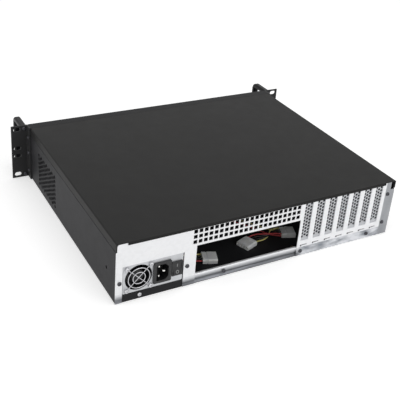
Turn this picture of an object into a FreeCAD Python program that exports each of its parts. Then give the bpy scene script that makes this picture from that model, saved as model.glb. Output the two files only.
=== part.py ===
"""A short 2U rackmount server case with its power supply, fans and drive bracket fitted.

Frame: +X to the right as seen from the front, +Y to the rear, +Z up. The origin is
the middle of the underside of the body. All lengths are in millimetres.
"""
import FreeCAD, Part
import math
import os
import re

import Sketcher
from FreeCAD import Placement, Rotation, Vector

# Every size that can be set by itself, once. Each becomes an aliased cell of the sheet.
SIZES = {
    # Body
    "body_width": 430.0,
    "body_height": 88.0,
    "body_depth": 350.0,
    "base_sheet": 1.0,
    "panel_sheet": 1.0,
    "lid_sheet": 1.0,
    "front_sheet": 1.2,
    "bend": 0.8,
    "slip": 0.3,
    "wall_flange": 11.0,
    "left_return": 8.0,
    "right_return": 15.0,
    "rear_flange": 12.0,
    "front_return": 15.0,
    # Lid
    "lid_flange": 11.7,
    "lip_height": 3.7,
    "lip_inset": 15.0,
    # Side vents
    "vent_front": 54.0,
    "vent_floor": 13.0,
    "vent_hole": 5.0,
    "vent_pitch": 6.0,
    "vent_row": 6.9,
    "vent_columns": 7,
    "vent_rows": 8,
    # Rear panel, measured from the left end as seen from behind
    "io_left": 109.5,
    "io_floor": 14.4,
    "io_width": 158.75,
    "io_height": 44.45,
    "grille_left": 106.4,
    "grille_floor": 64.9,
    "grille_hole": 5.5,
    "grille_pitch": 7.44,
    "grille_row": 7.7,
    "grille_columns": 22,
    "grille_rows": 3,
    "top_flange": 10.0,
    "corner_notch": 7.6,
    "panel_ground": 0.4,
    "head_radius": 2.9,
    "head_high": 1.9,
    "shank": 1.6,
    "hole_play": 0.05,
    # Expansion slots
    "slot_first": 279.3,
    "slot_pitch": 20.32,
    "slot_count": 7,
    "slot_width": 12.6,
    "slot_floor": 24.2,
    "slot_height": 59.4,
    "slit_wide": 11.4,
    "slit_high": 1.3,
    "slit_floor": 16.4,
    "slit_eye": 1.3,
    "cover_sheet": 0.8,
    "cover_width": 18.4,
    "cover_floor": 18.6,
    "cover_top": 84.2,
    "cover_tab": 11.4,
    "cover_margin": 6.3,
    "cover_hole": 3.5,
    "cover_pitch": 4.3,
    "cover_row": 5.08,
    "cover_rows": 11,
    "rail_sheet": 1.2,
    "rail_leg": 8.0,
    # Rack ears and handles
    "ear_reach": 26.3,
    "ear_sheet": 2.0,
    "ear_leg": 15.0,
    "rack_hole_inset": 8.75,
    "rack_slot_length": 11.0,
    "rack_slot_width": 6.8,
    "rack_outer_pitch": 76.2,
    "rack_inner_pitch": 12.7,
    "handle_offset": 6.5,
    "handle_reach": 42.0,
    "handle_height": 86.0,
    "handle_wide": 10.0,
    "handle_thick": 8.0,
    "handle_bend": 10.0,
    "handle_screw": 12.0,
    # Power supply
    "psu_left": 9.6,
    "psu_wide": 81.5,
    "psu_high": 40.5,
    "psu_long": 150.0,
    "psu_sheet": 0.8,
    "psu_lift": 12.3,
    "psu_recess": 0.5,
    "psu_gap": 1.0,
    "psu_fan_offset": 21.0,
    "psu_fan_size": 38.0,
    "psu_fan_depth": 20.0,
    "psu_fan_rim": 0.8,
    "psu_fan_hole_inset": 3.0,
    "guard_wire": 1.3,
    "inlet_offset": 52.6,
    "inlet_wide": 24.5,
    "inlet_high": 30.6,
    "switch_offset": 73.0,
    "switch_wide": 15.0,
    "switch_high": 21.0,
    "bezel": 2.2,
    "inlet_deep": 16.0,
    "inlet_shoulder": 2.0,
    "inlet_ledge": 1.5,
    "well_wide": 16.4,
    "well_high": 23.8,
    "well_key": 4.6,
    "switch_rim": 1.0,
    "switch_deep": 14.0,
    "rocker_wide": 11.0,
    "rocker_radius": 8.4,
    "grommet_radius": 7.0,
    "lead_inset": 16.0,
    "lead_rise": 14.0,
    "tray_sheet": 1.2,
    "tray_foot": 10.0,
    "tray_inset": 2.0,
    "cover_flange": 9.0,
    "psu_vent_wide": 7.0,
    "psu_vent_high": 2.6,
    "psu_vent_inset": 12.0,
    "psu_vent_floor": 9.0,
    "psu_vent_pitch": 10.0,
    "psu_vent_row": 5.6,
    "psu_vent_columns": 5,
    "psu_vent_rows": 5,
    # Case fans
    "fan_size": 80.0,
    "fan_depth": 25.0,
    "fan_rim": 2.0,
    "fan_hole_inset": 4.25,
    "fan_first": 62.0,
    "fan_gap": 12.0,
    "fan_strut": 2.6,
    "fan_play": 0.6,
    # Slots of the grille before each case fan
    "grate_length": 11.0,
    "grate_flat": 7.4,
    "grate_high": 3.6,
    "grate_pitch": 14.0,
    "grate_row": 6.4,
    "grate_columns": 5,
    "grate_rows": 11,
    # Drive bracket
    "drive_wide": 101.6,
    "drive_long": 147.0,
    "bracket_left": 48.0,
    "bracket_high": 62.0,
    "bracket_sheet": 1.2,
    "drive_screw": 1.9,
    "drive_pitch": 28.0,
    "window_length": 24.0,
    "window_width": 8.0,
    "window_left": 26.0,
    "window_front": 22.0,
    "window_pitch": 32.0,
    "window_row": 15.0,
    "window_columns": 4,
    "window_rows": 5,
    # Motherboard standoffs
    "board_left": 107.0,
    "board_gap": 1.0,
    "standoff_high": 6.5,
    "standoff_flats": 5.5,
    # Controls on the front panel
    "control_left": 22.0,
    "control_floor": 74.5,
    "power_radius": 6.0,
    "reset_radius": 2.5,
    "button_travel": 1.5,
    "button_flange": 1.2,
    "control_depth": 12.0,
    "reset_shift": 17.0,
    "lamp_shift": 29.0,
    "lamp_pitch": 8.0,
    "usb_shift": 54.0,
    "usb_pitch": 20.0,
    "post_first": 10.2,
    "post_second": 64.0,
    "board_thick": 1.6,
    "led_radius": 1.55,
    "usb_wide": 13.4,
    "usb_high": 6.0,
    # Leads and their plugs
    "wire": 2.0,
    "plug_wide": 21.0,
    "plug_long": 20.5,
    "plug_high": 7.0,
    "plug_pitch": 5.08,
}

doc = FreeCAD.newDocument("ServerCase")
sheet = doc.addObject("Spreadsheet::Sheet", "Sizes")
for row, (alias, number) in enumerate(SIZES.items(), start=1):
    sheet.set(f"A{row}", alias)
    sheet.set(f"B{row}", str(number))
    sheet.setAlias(f"B{row}", alias)
doc.recompute()

# Places that several pieces share, written in the sheet's names.
SHARED = {
    "half": "(body_width / 2)",
    "rear": "(body_depth / 2)",
    "front": "(-body_depth / 2)",
    "panel_in": "(body_depth / 2 - panel_sheet)",
    "front_in": "(front_sheet - body_depth / 2)",
    "jog": "(lid_sheet + slip)",
    "wall_top": "(body_height - lid_sheet - slip)",
    "jog_floor": "(body_height - lid_flange - lid_sheet - slip)",
    "ear_edge": "(body_width / 2 + ear_reach)",
    "handle_side": "(body_width / 2 + handle_offset)",
    "fan_pitch": "(fan_size + fan_gap)",
    "fan_bore": "(fan_size - 2 * fan_rim)",
    "fan_holes": "(fan_size - 2 * fan_hole_inset)",
    "psu_fan_bore": "(psu_fan_size - 2 * psu_fan_rim)",
    "psu_fan_holes": "(psu_fan_size - 2 * psu_fan_hole_inset)",
    "psu_outer": "(body_width / 2 - psu_left)",
    "psu_inner": "(body_width / 2 - psu_left - psu_wide)",
    "psu_back": "(body_depth / 2 - psu_recess)",
    "psu_front": "(body_depth / 2 - psu_recess - psu_long)",
    "psu_middle": "(psu_lift + psu_high / 2)",
    "psu_top": "(psu_lift + psu_high)",
}
PARTS = []


def spelled(text):
    """The expression with its shared places written out and its sizes bound to the sheet."""
    text = str(text)
    for name, meaning in SHARED.items():
        text = re.sub(rf"\b{name}\b", meaning, text)

    def cell(word):
        return f"Sizes.{word.group()}" if word.group() in SIZES else word.group()

    return re.sub(r"[a-z][a-z_]*", cell, text)


def size(text):
    """The present value of an expression, in millimetres."""
    return float(sheet.evalExpression(spelled(text)))


# ---------------------------------------------------------------- sketches and features

NORMAL = {"XY": 1, "XZ": -1, "YZ": 1}


def new_body(label):
    """A PartDesign body that becomes one node."""
    body = doc.addObject("PartDesign::Body", label)
    body.Label = label
    PARTS.append(body)
    return body


def origin_feature(body, role):
    """One of the body's own origin planes or axes."""
    return next(feature for feature in body.Origin.OriginFeatures if feature.Role == role)


def sketch_on(body, plane, at="0"):
    """A sketch on an origin plane, moved along its world axis to the place given."""
    sketch = body.newObject("Sketcher::SketchObject", "Sketch")
    sketch.AttachmentSupport = [(origin_feature(body, f"{plane}_Plane"), "")]
    sketch.MapMode = "FlatFace"
    sketch.setExpression("AttachmentOffset.Base.z", spelled(f"{NORMAL[plane]} * ({at})"))
    return sketch


def constrain(sketch, rules):
    """Adds constraints, each with the expression that drives it, or None."""
    added = sketch.addConstraint([Sketcher.Constraint(*rule[0]) for rule in rules])
    for index, (_, expression) in zip(added, rules):
        if expression is not None:
            sketch.setExpression(f"Constraints[{index}]", spelled(expression))


def placed(geometry, end, x, y):
    """The two rules that hold one point of a sketch at x, y."""
    return [
        (("DistanceX", -1, 1, geometry, end, size(x)), x),
        (("DistanceY", -1, 1, geometry, end, size(y)), y),
    ]


def polygon(sketch, corners):
    """A closed outline. Each corner is x, y and, where the corner is round, its radius."""
    points = [Vector(size(corner[0]), size(corner[1]), 0) for corner in corners]
    count = len(corners)
    arrive, leave, centres = [], [], []
    for index, corner in enumerate(corners):
        point = points[index]
        back = (points[index - 1] - point).normalize()
        ahead = (points[(index + 1) % count] - point).normalize()
        radius = size(corner[2]) if len(corner) == 3 else 0
        half_angle = back.getAngle(ahead) / 2
        arrive.append(point + back * (radius / math.tan(half_angle)))
        leave.append(point + ahead * (radius / math.tan(half_angle)))
        reach = radius / math.sin(half_angle)
        centres.append(point + (back + ahead).normalize() * reach if radius else None)
    lines = [
        sketch.addGeometry(Part.LineSegment(leave[index], arrive[(index + 1) % count]), False)
        for index in range(count)
    ]
    rules = []
    for index, corner in enumerate(corners):
        line_in, line_out = lines[index - 1], lines[index]
        if len(corner) == 2:
            rules.append((("Coincident", line_in, 2, line_out, 1), None))
            rules += placed(line_out, 1, corner[0], corner[1])
            continue
        centre = centres[index]
        first, last = arrive[index] - centre, leave[index] - centre
        turns_left = first.cross(last).z > 0
        start, stop = (first, last) if turns_left else (last, first)
        circle_of = Part.Circle(centre, Vector(0, 0, 1), size(corner[2]))
        angles = [math.atan2(way.y, way.x) for way in (start, stop)]
        arc = sketch.addGeometry(Part.ArcOfCircle(circle_of, *angles), False)
        point = sketch.addGeometry(Part.Point(points[index]), True)
        arc_in, arc_out = (1, 2) if turns_left else (2, 1)
        rules += [
            (("Tangent", line_in, 2, arc, arc_in), None),
            (("Tangent", arc, arc_out, line_out, 1), None),
            (("Radius", arc, size(corner[2])), corner[2]),
            (("PointOnObject", point, 1, line_in), None),
            (("PointOnObject", point, 1, line_out), None),
        ]
        rules += placed(point, 1, corner[0], corner[1])
    constrain(sketch, rules)


def rectangle(sketch, left, bottom, right, top, radius=None):
    """A rectangle, with round corners if a radius is given."""
    rounding = () if radius is None else (radius,)
    corners = ((left, bottom), (right, bottom), (right, top), (left, top))
    polygon(sketch, [corner + rounding for corner in corners])


def centred(sketch, x, y, wide, high, radius=None):
    """A rectangle about its middle."""
    aside, above = f"({wide}) / 2", f"({high}) / 2"
    rectangle(sketch, f"{x} - {aside}", f"{y} - {above}", f"{x} + {aside}", f"{y} + {above}", radius)


def circle(sketch, x, y, radius):
    """A circle held by its middle and radius."""
    centre = Vector(size(x), size(y), 0)
    ring = sketch.addGeometry(Part.Circle(centre, Vector(0, 0, 1), size(radius)), False)
    constrain(sketch, placed(ring, 3, x, y) + [(("Radius", ring, size(radius)), radius)])


def hexagon(sketch, x, y, across):
    """A hexagon with a point at its top, by its width across flats."""
    side, tip = f"{across} / 2", f"{across} / 2 / cos(30)"
    rise = f"{across} / 2 * tan(30)"
    ends = ((1, 1), (0, 1), (-1, 1), (-1, -1), (0, -1), (1, -1))
    polygon(sketch, [(f"{x} + {a} * {side}", f"{y} + {b} * {rise if a else tip}") for a, b in ends])


def stadium(sketch, x, y, length, width):
    """A slot with round ends, lying along the sketch's first axis."""
    reach, radius = f"({length} - {width}) / 2", f"{width} / 2"
    middle_x, middle_y, run, round_end = size(x), size(y), size(reach), size(radius)
    arcs = []
    for side, first in ((-1, 90), (1, -90)):
        ring = Part.Circle(Vector(middle_x + side * run, middle_y, 0), Vector(0, 0, 1), round_end)
        arc = Part.ArcOfCircle(ring, math.radians(first), math.radians(first + 180))
        arcs.append(sketch.addGeometry(arc, False))
    lines = []
    for side in (1, -1):
        start = Vector(middle_x + side * run, middle_y + side * round_end, 0)
        stop = Vector(middle_x - side * run, middle_y + side * round_end, 0)
        lines.append(sketch.addGeometry(Part.LineSegment(start, stop), False))
    rules = [
        (("Tangent", arcs[1], 2, lines[0], 1), None),
        (("Tangent", lines[0], 2, arcs[0], 1), None),
        (("Tangent", arcs[0], 2, lines[1], 1), None),
        (("Tangent", lines[1], 2, arcs[1], 1), None),
        (("Radius", arcs[0], round_end), radius),
        (("Radius", arcs[1], round_end), radius),
    ]
    rules += placed(arcs[0], 3, f"{x} - {reach}", y)
    rules += placed(arcs[1], 3, f"{x} + {reach}", y)
    constrain(sketch, rules)


def pad(body, sketch, plane, length, toward):
    """Adds the sketch's outline, pushed along the world axis, toward 1 or -1."""
    feature = body.newObject("PartDesign::Pad", "Pad")
    feature.Profile = sketch
    feature.setExpression("Length", spelled(length))
    feature.Reversed = toward != NORMAL[plane]
    return feature


def pocket(body, sketch, plane, length, toward=None):
    """Cuts the sketch's outline along the world axis, both ways if toward is None."""
    feature = body.newObject("PartDesign::Pocket", "Pocket")
    feature.Profile = sketch
    feature.setExpression("Length", spelled(length))
    if toward is None:
        feature.SideType = "Symmetric"
    else:
        feature.Reversed = toward == NORMAL[plane]
    return feature


def grid(body, feature, first, second=None):
    """Repeats a feature along one or two axes. Each run is axis, sign, count and pitch."""
    pattern = body.newObject("PartDesign::LinearPattern", "Pattern")
    pattern.Originals = [feature]
    for run, suffix in ((first, ""), (second, "2")):
        if run is None:
            continue
        axis, sign, count, pitch = run
        setattr(pattern, f"Direction{suffix}", (origin_feature(body, f"{axis}_Axis"), [""]))
        setattr(pattern, f"Reversed{suffix}", sign < 0)
        setattr(pattern, f"Mode{suffix}", "Spacing")
        pattern.setExpression(f"Offset{suffix}", spelled(pitch))
        repeats = round(size(count))
        setattr(pattern, f"Occurrences{suffix}", repeats)
        # A gap of -1 takes the common pitch
        setattr(pattern, f"Spacings{suffix}", [-1.0] * (repeats - 1))
        pattern.setExpression(f"Occurrences{suffix}", spelled(count))
    body.Tip = pattern
    return pattern


def mirrored(corners):
    """The same corners on the other side of the middle plane, in the order that goes on."""
    return [(f"-({corner[0]})",) + tuple(corner[1:]) for corner in reversed(corners)]


def solid_part(label, shape):
    """A node whose shape is made directly from the sheet's sizes."""
    feature = doc.addObject("Part::Feature", label)
    feature.Label = label
    feature.Shape = shape
    PARTS.append(feature)
    return feature


def turned(profile, base, axis):
    """A solid of revolution. The profile is radius and height along the axis from the base."""
    points = [Vector(radius, 0, height) for radius, height in profile]
    face = Part.Face(Part.makePolygon(points + [points[0]]))
    solid = face.revolve(Vector(), Vector(0, 0, 1), 360)
    solid.Placement = Placement(base, Rotation(Vector(0, 0, 1), axis))
    return solid


def screw(base, outward, length, head=None, high=None, shank=None):
    """A pan head screw. The base is under its head and outward is the way the head faces."""
    head = size("head_radius") if head is None else head
    high = size("head_high") if high is None else high
    shank = size("shank") if shank is None else shank
    edge = high * 0.45
    profile = [
        (0, high), (head - edge, high), (head, high - edge), (head, 0),
        (shank, 0), (shank, -length), (0, -length),
    ]
    return turned(profile, base, outward)


# ---------------------------------------------------------------- where fasteners go

X_WAYS = (1, -1)
CORNERS = [(a, b) for a in X_WAYS for b in X_WAYS]
# Rear screws: distance from the left end as seen from behind, and height.
REAR_SCREWS = (("5.2", "30"), ("body_width - 11.5", "68"), ("body_width - 11.5", "21"),
               ("275", "7.6"), ("392", "7.6"), ("half - psu_inner + 6.2", "31"))
PSU_TRAY_SCREW = ("32.8", "6")
EAR_SCREWS = ("14", "44", "70")
EAR_SCREW_PLACE = "(front + ear_sheet / 2 + ear_leg / 2)"
# Controls on the front panel, all in one row above the drive bracket.
POWER = "(-half + control_left)"
RESET = f"({POWER} + reset_shift)"
LEDS = (f"({POWER} + lamp_shift)", f"({POWER} + lamp_shift + lamp_pitch)")
USBS = (f"({POWER} + usb_shift)", f"({POWER} + usb_shift + usb_pitch)")
BOARD_POSTS = (f"({POWER} + post_first)", f"({POWER} + post_second)")


def handle_screw_heights():
    """The heights of the two screws of a handle, in the middle of its arms."""
    reach = "(handle_height - handle_thick) / 2"
    return (f"body_height / 2 - {reach}", f"body_height / 2 + {reach}")


# ---------------------------------------------------------------- body of the case


def base_tray():
    """Floor and side walls from one sheet, with a stepped top edge that the lid caps."""
    body = new_body("base_tray")
    inset = "base_sheet * tan(22.5)"
    wall = [
        ("half", "0", "bend + base_sheet"),
        ("half", "jog_floor"),
        ("half - jog", "jog_floor + jog"),
        ("half - jog", "wall_top", "bend + base_sheet"),
        ("half - jog - wall_flange", "wall_top"),
        ("half - jog - wall_flange", "wall_top - base_sheet"),
        ("half - jog - base_sheet", "wall_top - base_sheet", "bend"),
        ("half - jog - base_sheet", f"jog_floor + jog - {inset}"),
        ("half - base_sheet", f"jog_floor - {inset}"),
        ("half - base_sheet", "base_sheet", "bend"),
    ]
    profile = sketch_on(body, "XZ", "panel_in")
    polygon(profile, wall + mirrored(wall))
    pad(body, profile, "XZ", "panel_in - front_in", -1)

    # Upturned flanges that the rear panel is screwed to, open behind the board's ports
    returns = sketch_on(body, "XZ", "panel_in")
    embed = "base_sheet / 2"
    sides = (
        ("1", "left_return", "half - io_left + 1"),
        ("-1", "right_return", "half - io_left - io_width - 1"),
    )
    for sign, width, stop in sides:
        polygon(returns, [
            (f"{sign} * (half - {embed})", embed),
            (f"{sign} * (half - {embed})", "jog_floor - bend"),
            (f"{sign} * (half - {width})", "jog_floor - bend"),
            (f"{sign} * (half - {width})", "rear_flange"),
            (stop, "rear_flange"),
            (stop, embed),
        ])
    pad(body, returns, "XZ", "base_sheet", -1)

    # Staggered vents in both walls beside the drives and fans
    columns = (
        ("0", "0", "vent_rows", "vent_columns"),
        ("vent_pitch", "vent_row / 2", "vent_rows - 1", "vent_columns - 1"),
    )
    for shift, rise, rows, count in columns:
        vent = sketch_on(body, "YZ")
        hexagon(vent, f"front + vent_front + {shift}", f"vent_floor + {rise}", "vent_hole")
        cut = pocket(body, vent, "YZ", "body_width + 2")
        grid(body, cut, ("Y", 1, count, "2 * vent_pitch"), ("Z", 1, rows, "vent_row"))

    holes = sketch_on(body, "YZ")
    for height in EAR_SCREWS:
        circle(holes, EAR_SCREW_PLACE, height, "shank + hole_play")
    pocket(body, holes, "YZ", "body_width + 2")

    rear_holes = sketch_on(body, "XZ", "panel_in")
    for place, height in REAR_SCREWS + (PSU_TRAY_SCREW,):
        circle(rear_holes, f"half - ({place})", height, "shank + hole_play")
    pocket(body, rear_holes, "XZ", "2 * base_sheet", -1)

    side_hole = sketch_on(body, "YZ", "half")
    circle(side_hole, "rear - 29", "37", "2.2")
    pocket(body, side_hole, "YZ", "2 * base_sheet", -1)


def rear_panel():
    """Plain sheet with the power supply, board and slot openings, and a rolled sill."""
    body = new_body("rear_panel")
    side = [
        ("half", "panel_ground"),
        ("half", "jog_floor"),
        ("half - jog", "jog_floor + jog"),
        ("half - jog", "wall_top", "3"),
    ]
    notched_side = [
        ("corner_notch - half", "wall_top", "1"),
        ("corner_notch - half", "jog_floor"),
        ("-half", "jog_floor", "4"),
        ("-half", "panel_ground"),
    ]
    plate = sketch_on(body, "XZ", "rear")
    polygon(plate, side + notched_side)
    pad(body, plate, "XZ", "panel_sheet", -1)

    openings = sketch_on(body, "XZ", "rear")
    rectangle(openings, "psu_inner - 1.2 * psu_gap", "-1", "psu_outer + 0.6 * psu_gap",
              "psu_top + 0.4 * psu_gap")
    rectangle(openings, "half - io_left - io_width", "-1", "half - io_left", "io_floor + io_height")
    pocket(body, openings, "XZ", "2 * panel_sheet", -1)

    sill = sketch_on(body, "YZ", "half - io_left + 0.6")
    polygon(sill, [
        ("rear - 4.2", "io_floor"),
        ("rear - 0.2", "io_floor", "1.9"),
        ("rear - 2.6", "3.6", "1.8"),
        ("rear - 0.4", "1.7"),
        ("rear - 0.4", "base_sheet"),
        ("rear - 1.6", "base_sheet"),
        ("rear - 3.75", "3.1", "1.0"),
        ("rear - 1.45", "io_floor - panel_sheet", "0.8"),
        ("rear - 4.2", "io_floor - panel_sheet"),
    ])
    pad(body, sill, "YZ", "io_width + 1.2", -1)

    flange = sketch_on(body, "YZ", "half - jog - wall_flange - 2")
    rectangle(flange, "panel_in - top_flange", "wall_top - panel_sheet", "rear - panel_sheet / 2", "wall_top")
    pad(body, flange, "YZ", "io_left + io_width - jog - wall_flange", -1)

    slot = sketch_on(body, "XZ", "rear")
    rectangle(slot, "half - slot_first - slot_width / 2", "slot_floor", "half - slot_first + slot_width / 2",
              "slot_floor + slot_height", "1")
    cut = pocket(body, slot, "XZ", "2 * panel_sheet", -1)
    grid(body, cut, ("X", -1, "slot_count", "slot_pitch"))

    slit = sketch_on(body, "XZ", "rear")
    slit_end = "half - slot_first + slit_wide / 2"
    slit_top = "slit_floor + slit_high"
    polygon(slit, [
        (slit_end, "slit_floor - slit_eye"),
        (f"{slit_end} - 2 * slit_eye", "slit_floor - slit_eye"),
        (f"{slit_end} - 2 * slit_eye", "slit_floor"),
        (f"{slit_end} - slit_wide", "slit_floor"),
        (f"{slit_end} - slit_wide", slit_top),
        (slit_end, slit_top),
    ])
    cut = pocket(body, slit, "XZ", "2 * panel_sheet", -1)
    grid(body, cut, ("X", -1, "slot_count", "slot_pitch"))

    hole = sketch_on(body, "XZ", "rear")
    centred(hole, "half - grille_left", "grille_floor", "grille_hole", "grille_hole")
    cut = pocket(body, hole, "XZ", "2 * panel_sheet", -1)
    grid(body, cut, ("X", -1, "grille_columns", "grille_pitch"), ("Z", 1, "grille_rows", "grille_row"))

    holes = sketch_on(body, "XZ", "rear")
    for place, height in REAR_SCREWS:
        circle(holes, f"half - ({place})", height, "shank + hole_play")
    pocket(body, holes, "XZ", "2 * panel_sheet", -1)


def slot_cover(index):
    """A perforated blank for one expansion slot: tongue, plate and screw tab."""
    body = new_body(f"slot_cover_{index + 1}")
    middle = f"(half - slot_first - {index} * slot_pitch)"
    plate = sketch_on(body, "XZ", "panel_in")
    half_plate = [
        (f"{middle} + 5", "cover_floor"),
        (f"{middle} + 5", "slot_floor - 3"),
        (f"{middle} + cover_width / 2", "slot_floor - 0.5"),
        (f"{middle} + cover_width / 2", "cover_top"),
    ]
    other = [(x.replace("+", "-"), height) for x, height in reversed(half_plate)]
    polygon(plate, half_plate + other)
    pad(body, plate, "XZ", "cover_sheet", -1)

    tab = sketch_on(body, "XY", "cover_top")
    polygon(tab, [
        (f"{middle} - cover_width / 2", "panel_in"),
        (f"{middle} - cover_width / 2", "panel_in - cover_tab", "2"),
        (f"{middle} + cover_width / 2", "panel_in - cover_tab", "2"),
        (f"{middle} + cover_width / 2", "panel_in"),
    ])
    pad(body, tab, "XY", "cover_sheet", -1)

    outer = sketch_on(body, "XZ", "panel_in")
    start = "(slot_floor + cover_margin)"
    hexagon(outer, f"{middle} - cover_pitch", start, "cover_hole")
    hexagon(outer, f"{middle} + cover_pitch", start, "cover_hole")
    cut = pocket(body, outer, "XZ", "2 * cover_sheet", -1)
    grid(body, cut, ("Z", 1, "cover_rows", "cover_row"))
    inner = sketch_on(body, "XZ", "panel_in")
    hexagon(inner, middle, f"{start} + cover_row / 2", "cover_hole")
    cut = pocket(body, inner, "XZ", "2 * cover_sheet", -1)
    grid(body, cut, ("Z", 1, "cover_rows - 1", "cover_row"))

    hole = sketch_on(body, "XY", "cover_top")
    circle(hole, middle, "panel_in - cover_tab / 2", "shank + hole_play")
    pocket(body, hole, "XY", "2 * cover_sheet", -1)


def slot_rail():
    """The angle inside the rear panel that the slot covers are screwed down on."""
    body = new_body("slot_rail")
    top = "(cover_top - cover_sheet)"
    first = "(half - slot_first + cover_width / 2 + slip)"
    last = "(half - slot_first - (slot_count - 1) * slot_pitch - cover_width / 2 - slip)"
    front_edge = "(panel_in - cover_tab - 1.5)"
    ledge = sketch_on(body, "XY", top)
    polygon(ledge, [
        (f"{first} + 3", "panel_in"),
        (first, "panel_in"),
        (first, "panel_in - cover_sheet - slip / 3"),
        (last, "panel_in - cover_sheet - slip / 3"),
        (last, "panel_in"),
        (f"{last} - 3", "panel_in"),
        (f"{last} - 3", front_edge),
        (f"{first} + 3", front_edge),
    ])
    pad(body, ledge, "XY", "rail_sheet", -1)
    leg = sketch_on(body, "YZ", f"{first} + 3")
    rectangle(leg, front_edge, f"{top} - rail_leg", f"{front_edge} + rail_sheet", f"{top} - rail_sheet / 2")
    pad(body, leg, "YZ", f"{first} - {last} + 6", -1)
    hole = sketch_on(body, "XY", top)
    circle(hole, "half - slot_first", "panel_in - cover_tab / 2", "shank + hole_play")
    cut = pocket(body, hole, "XY", "2 * rail_sheet", -1)
    grid(body, cut, ("X", -1, "slot_count", "slot_pitch"))


def lid():
    """Top cover with side flanges that cap the stepped walls and a lip over the rear panel."""
    body = new_body("lid")
    floor = "(body_height - lid_flange)"
    side = [
        ("half", floor),
        ("half", "body_height", "bend + lid_sheet"),
    ]
    inner = [
        ("half - lid_sheet", "body_height - lid_sheet", "bend"),
        ("half - lid_sheet", floor),
    ]
    other_inner = [(f"-({corner[0]})",) + tuple(corner[1:]) for corner in reversed(inner)]
    outline = side + mirrored(side) + other_inner + inner
    profile = sketch_on(body, "XZ", "rear")
    polygon(profile, outline)
    pad(body, profile, "XZ", "body_depth - front_return - slip", -1)

    lip = sketch_on(body, "YZ", "half - lip_inset")
    polygon(lip, [
        ("rear - 0.5", "body_height"),
        ("rear + slip + lid_sheet", "body_height", "slip + lid_sheet"),
        ("rear + slip + lid_sheet", "body_height - lip_height"),
        ("rear + slip", "body_height - lip_height"),
        ("rear + slip", "body_height - lid_sheet"),
        ("rear - 0.5", "body_height - lid_sheet"),
    ])
    pad(body, lip, "YZ", "body_width - 2 * lip_inset - 4", -1)


def front_panel():
    """Face with returns, fan grilles and openings for the controls."""
    body = new_body("front_panel")
    face = sketch_on(body, "XZ", "front")
    rectangle(face, "-half", "0.2", "half", "body_height")
    pad(body, face, "XZ", "front_sheet", 1)

    top = sketch_on(body, "YZ", "half")
    rectangle(top, "front + front_sheet / 2", "body_height - front_sheet",
              "front + front_return", "body_height")
    pad(body, top, "YZ", "body_width", -1)

    bottom = sketch_on(body, "YZ", "half - base_sheet - bend - 2")
    rectangle(bottom, "front + front_sheet / 2", "base_sheet",
              "front + front_return", "base_sheet + front_sheet")
    pad(body, bottom, "YZ", "half - base_sheet - bend - 2 + bracket_left - 3", -1)

    cheeks = sketch_on(body, "XY", "5")
    for sign in X_WAYS:
        side = f"{sign} * (half - base_sheet)"
        rectangle(cheeks, f"{side} - {(sign + 1) / 2} * front_sheet", "front + front_sheet / 2",
                  f"{side} + {(1 - sign) / 2} * front_sheet", "front + front_return")
    pad(body, cheeks, "XY", "jog_floor - 8", 1)

    slot = sketch_on(body, "XZ", "front")
    for turn in (0, 1):
        x = f"fan_first + {turn} * fan_pitch - (grate_columns - 1) / 2 * grate_pitch"
        height = "body_height / 2 - (grate_rows - 1) / 2 * grate_row"
        polygon(slot, [
            (f"{x} - grate_length / 2", height),
            (f"{x} - grate_flat / 2", f"{height} - grate_high / 2"),
            (f"{x} + grate_flat / 2", f"{height} - grate_high / 2"),
            (f"{x} + grate_length / 2", height),
            (f"{x} + grate_flat / 2", f"{height} + grate_high / 2"),
            (f"{x} - grate_flat / 2", f"{height} + grate_high / 2"),
        ])
    cut = pocket(body, slot, "XZ", "2 * front_sheet", 1)
    grid(body, cut, ("X", 1, "grate_columns", "grate_pitch"), ("Z", 1, "grate_rows", "grate_row"))

    holes = sketch_on(body, "XZ", "front")
    circle(holes, POWER, "control_floor", "power_radius")
    circle(holes, RESET, "control_floor", "reset_radius")
    for place in LEDS:
        circle(holes, place, "control_floor", "led_radius")
    for place in USBS:
        centred(holes, place, "control_floor", "usb_wide", "usb_high")
    for turn in (0, 1):
        for x, height in fan_corners(turn):
            circle(holes, x, height, "shank + hole_play")
    pocket(body, holes, "XZ", "2 * front_sheet", 1)

    ear_holes = sketch_on(body, "YZ")
    for height in EAR_SCREWS:
        circle(ear_holes, EAR_SCREW_PLACE, height, "shank + hole_play")
    pocket(body, ear_holes, "YZ", "body_width + 2")


def fan_corners(turn):
    """The four screw places of a case fan."""
    span = "fan_holes / 2"
    middle = f"fan_first + {turn} * fan_pitch"
    return [(f"{middle} + {a} * {span}", f"body_height / 2 + {b} * {span}") for a, b in CORNERS]


def rack_ear(label, sign):
    """An angle on the side wall with the rack's slots and the handle's screw holes."""
    body = new_body(label)
    section = sketch_on(body, "XY")
    polygon(section, [
        (f"{sign} * half", "front", "bend + ear_sheet"),
        (f"{sign} * ear_edge", "front"),
        (f"{sign} * ear_edge", "front + ear_sheet"),
        (f"{sign} * (half + ear_sheet)", "front + ear_sheet", "bend"),
        (f"{sign} * (half + ear_sheet)", "front + ear_leg"),
        (f"{sign} * half", "front + ear_leg"),
    ])
    pad(body, section, "XY", "body_height", 1)

    slots = sketch_on(body, "XZ", "front")
    for pitch in ("rack_outer_pitch", "rack_inner_pitch"):
        for side in X_WAYS:
            stadium(slots, f"{sign} * (ear_edge - rack_hole_inset)", f"body_height / 2 + {side} * {pitch} / 2",
                    "rack_slot_length", "rack_slot_width")
    for height in handle_screw_heights():
        circle(slots, f"{sign} * handle_side", height, "shank + hole_play")
    pocket(body, slots, "XZ", "2 * ear_sheet", 1)

    holes = sketch_on(body, "YZ", f"{sign} * (half + ear_sheet)")
    for height in EAR_SCREWS:
        circle(holes, EAR_SCREW_PLACE, height, "shank + hole_play")
    pocket(body, holes, "YZ", "2 * ear_sheet", -sign)


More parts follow.
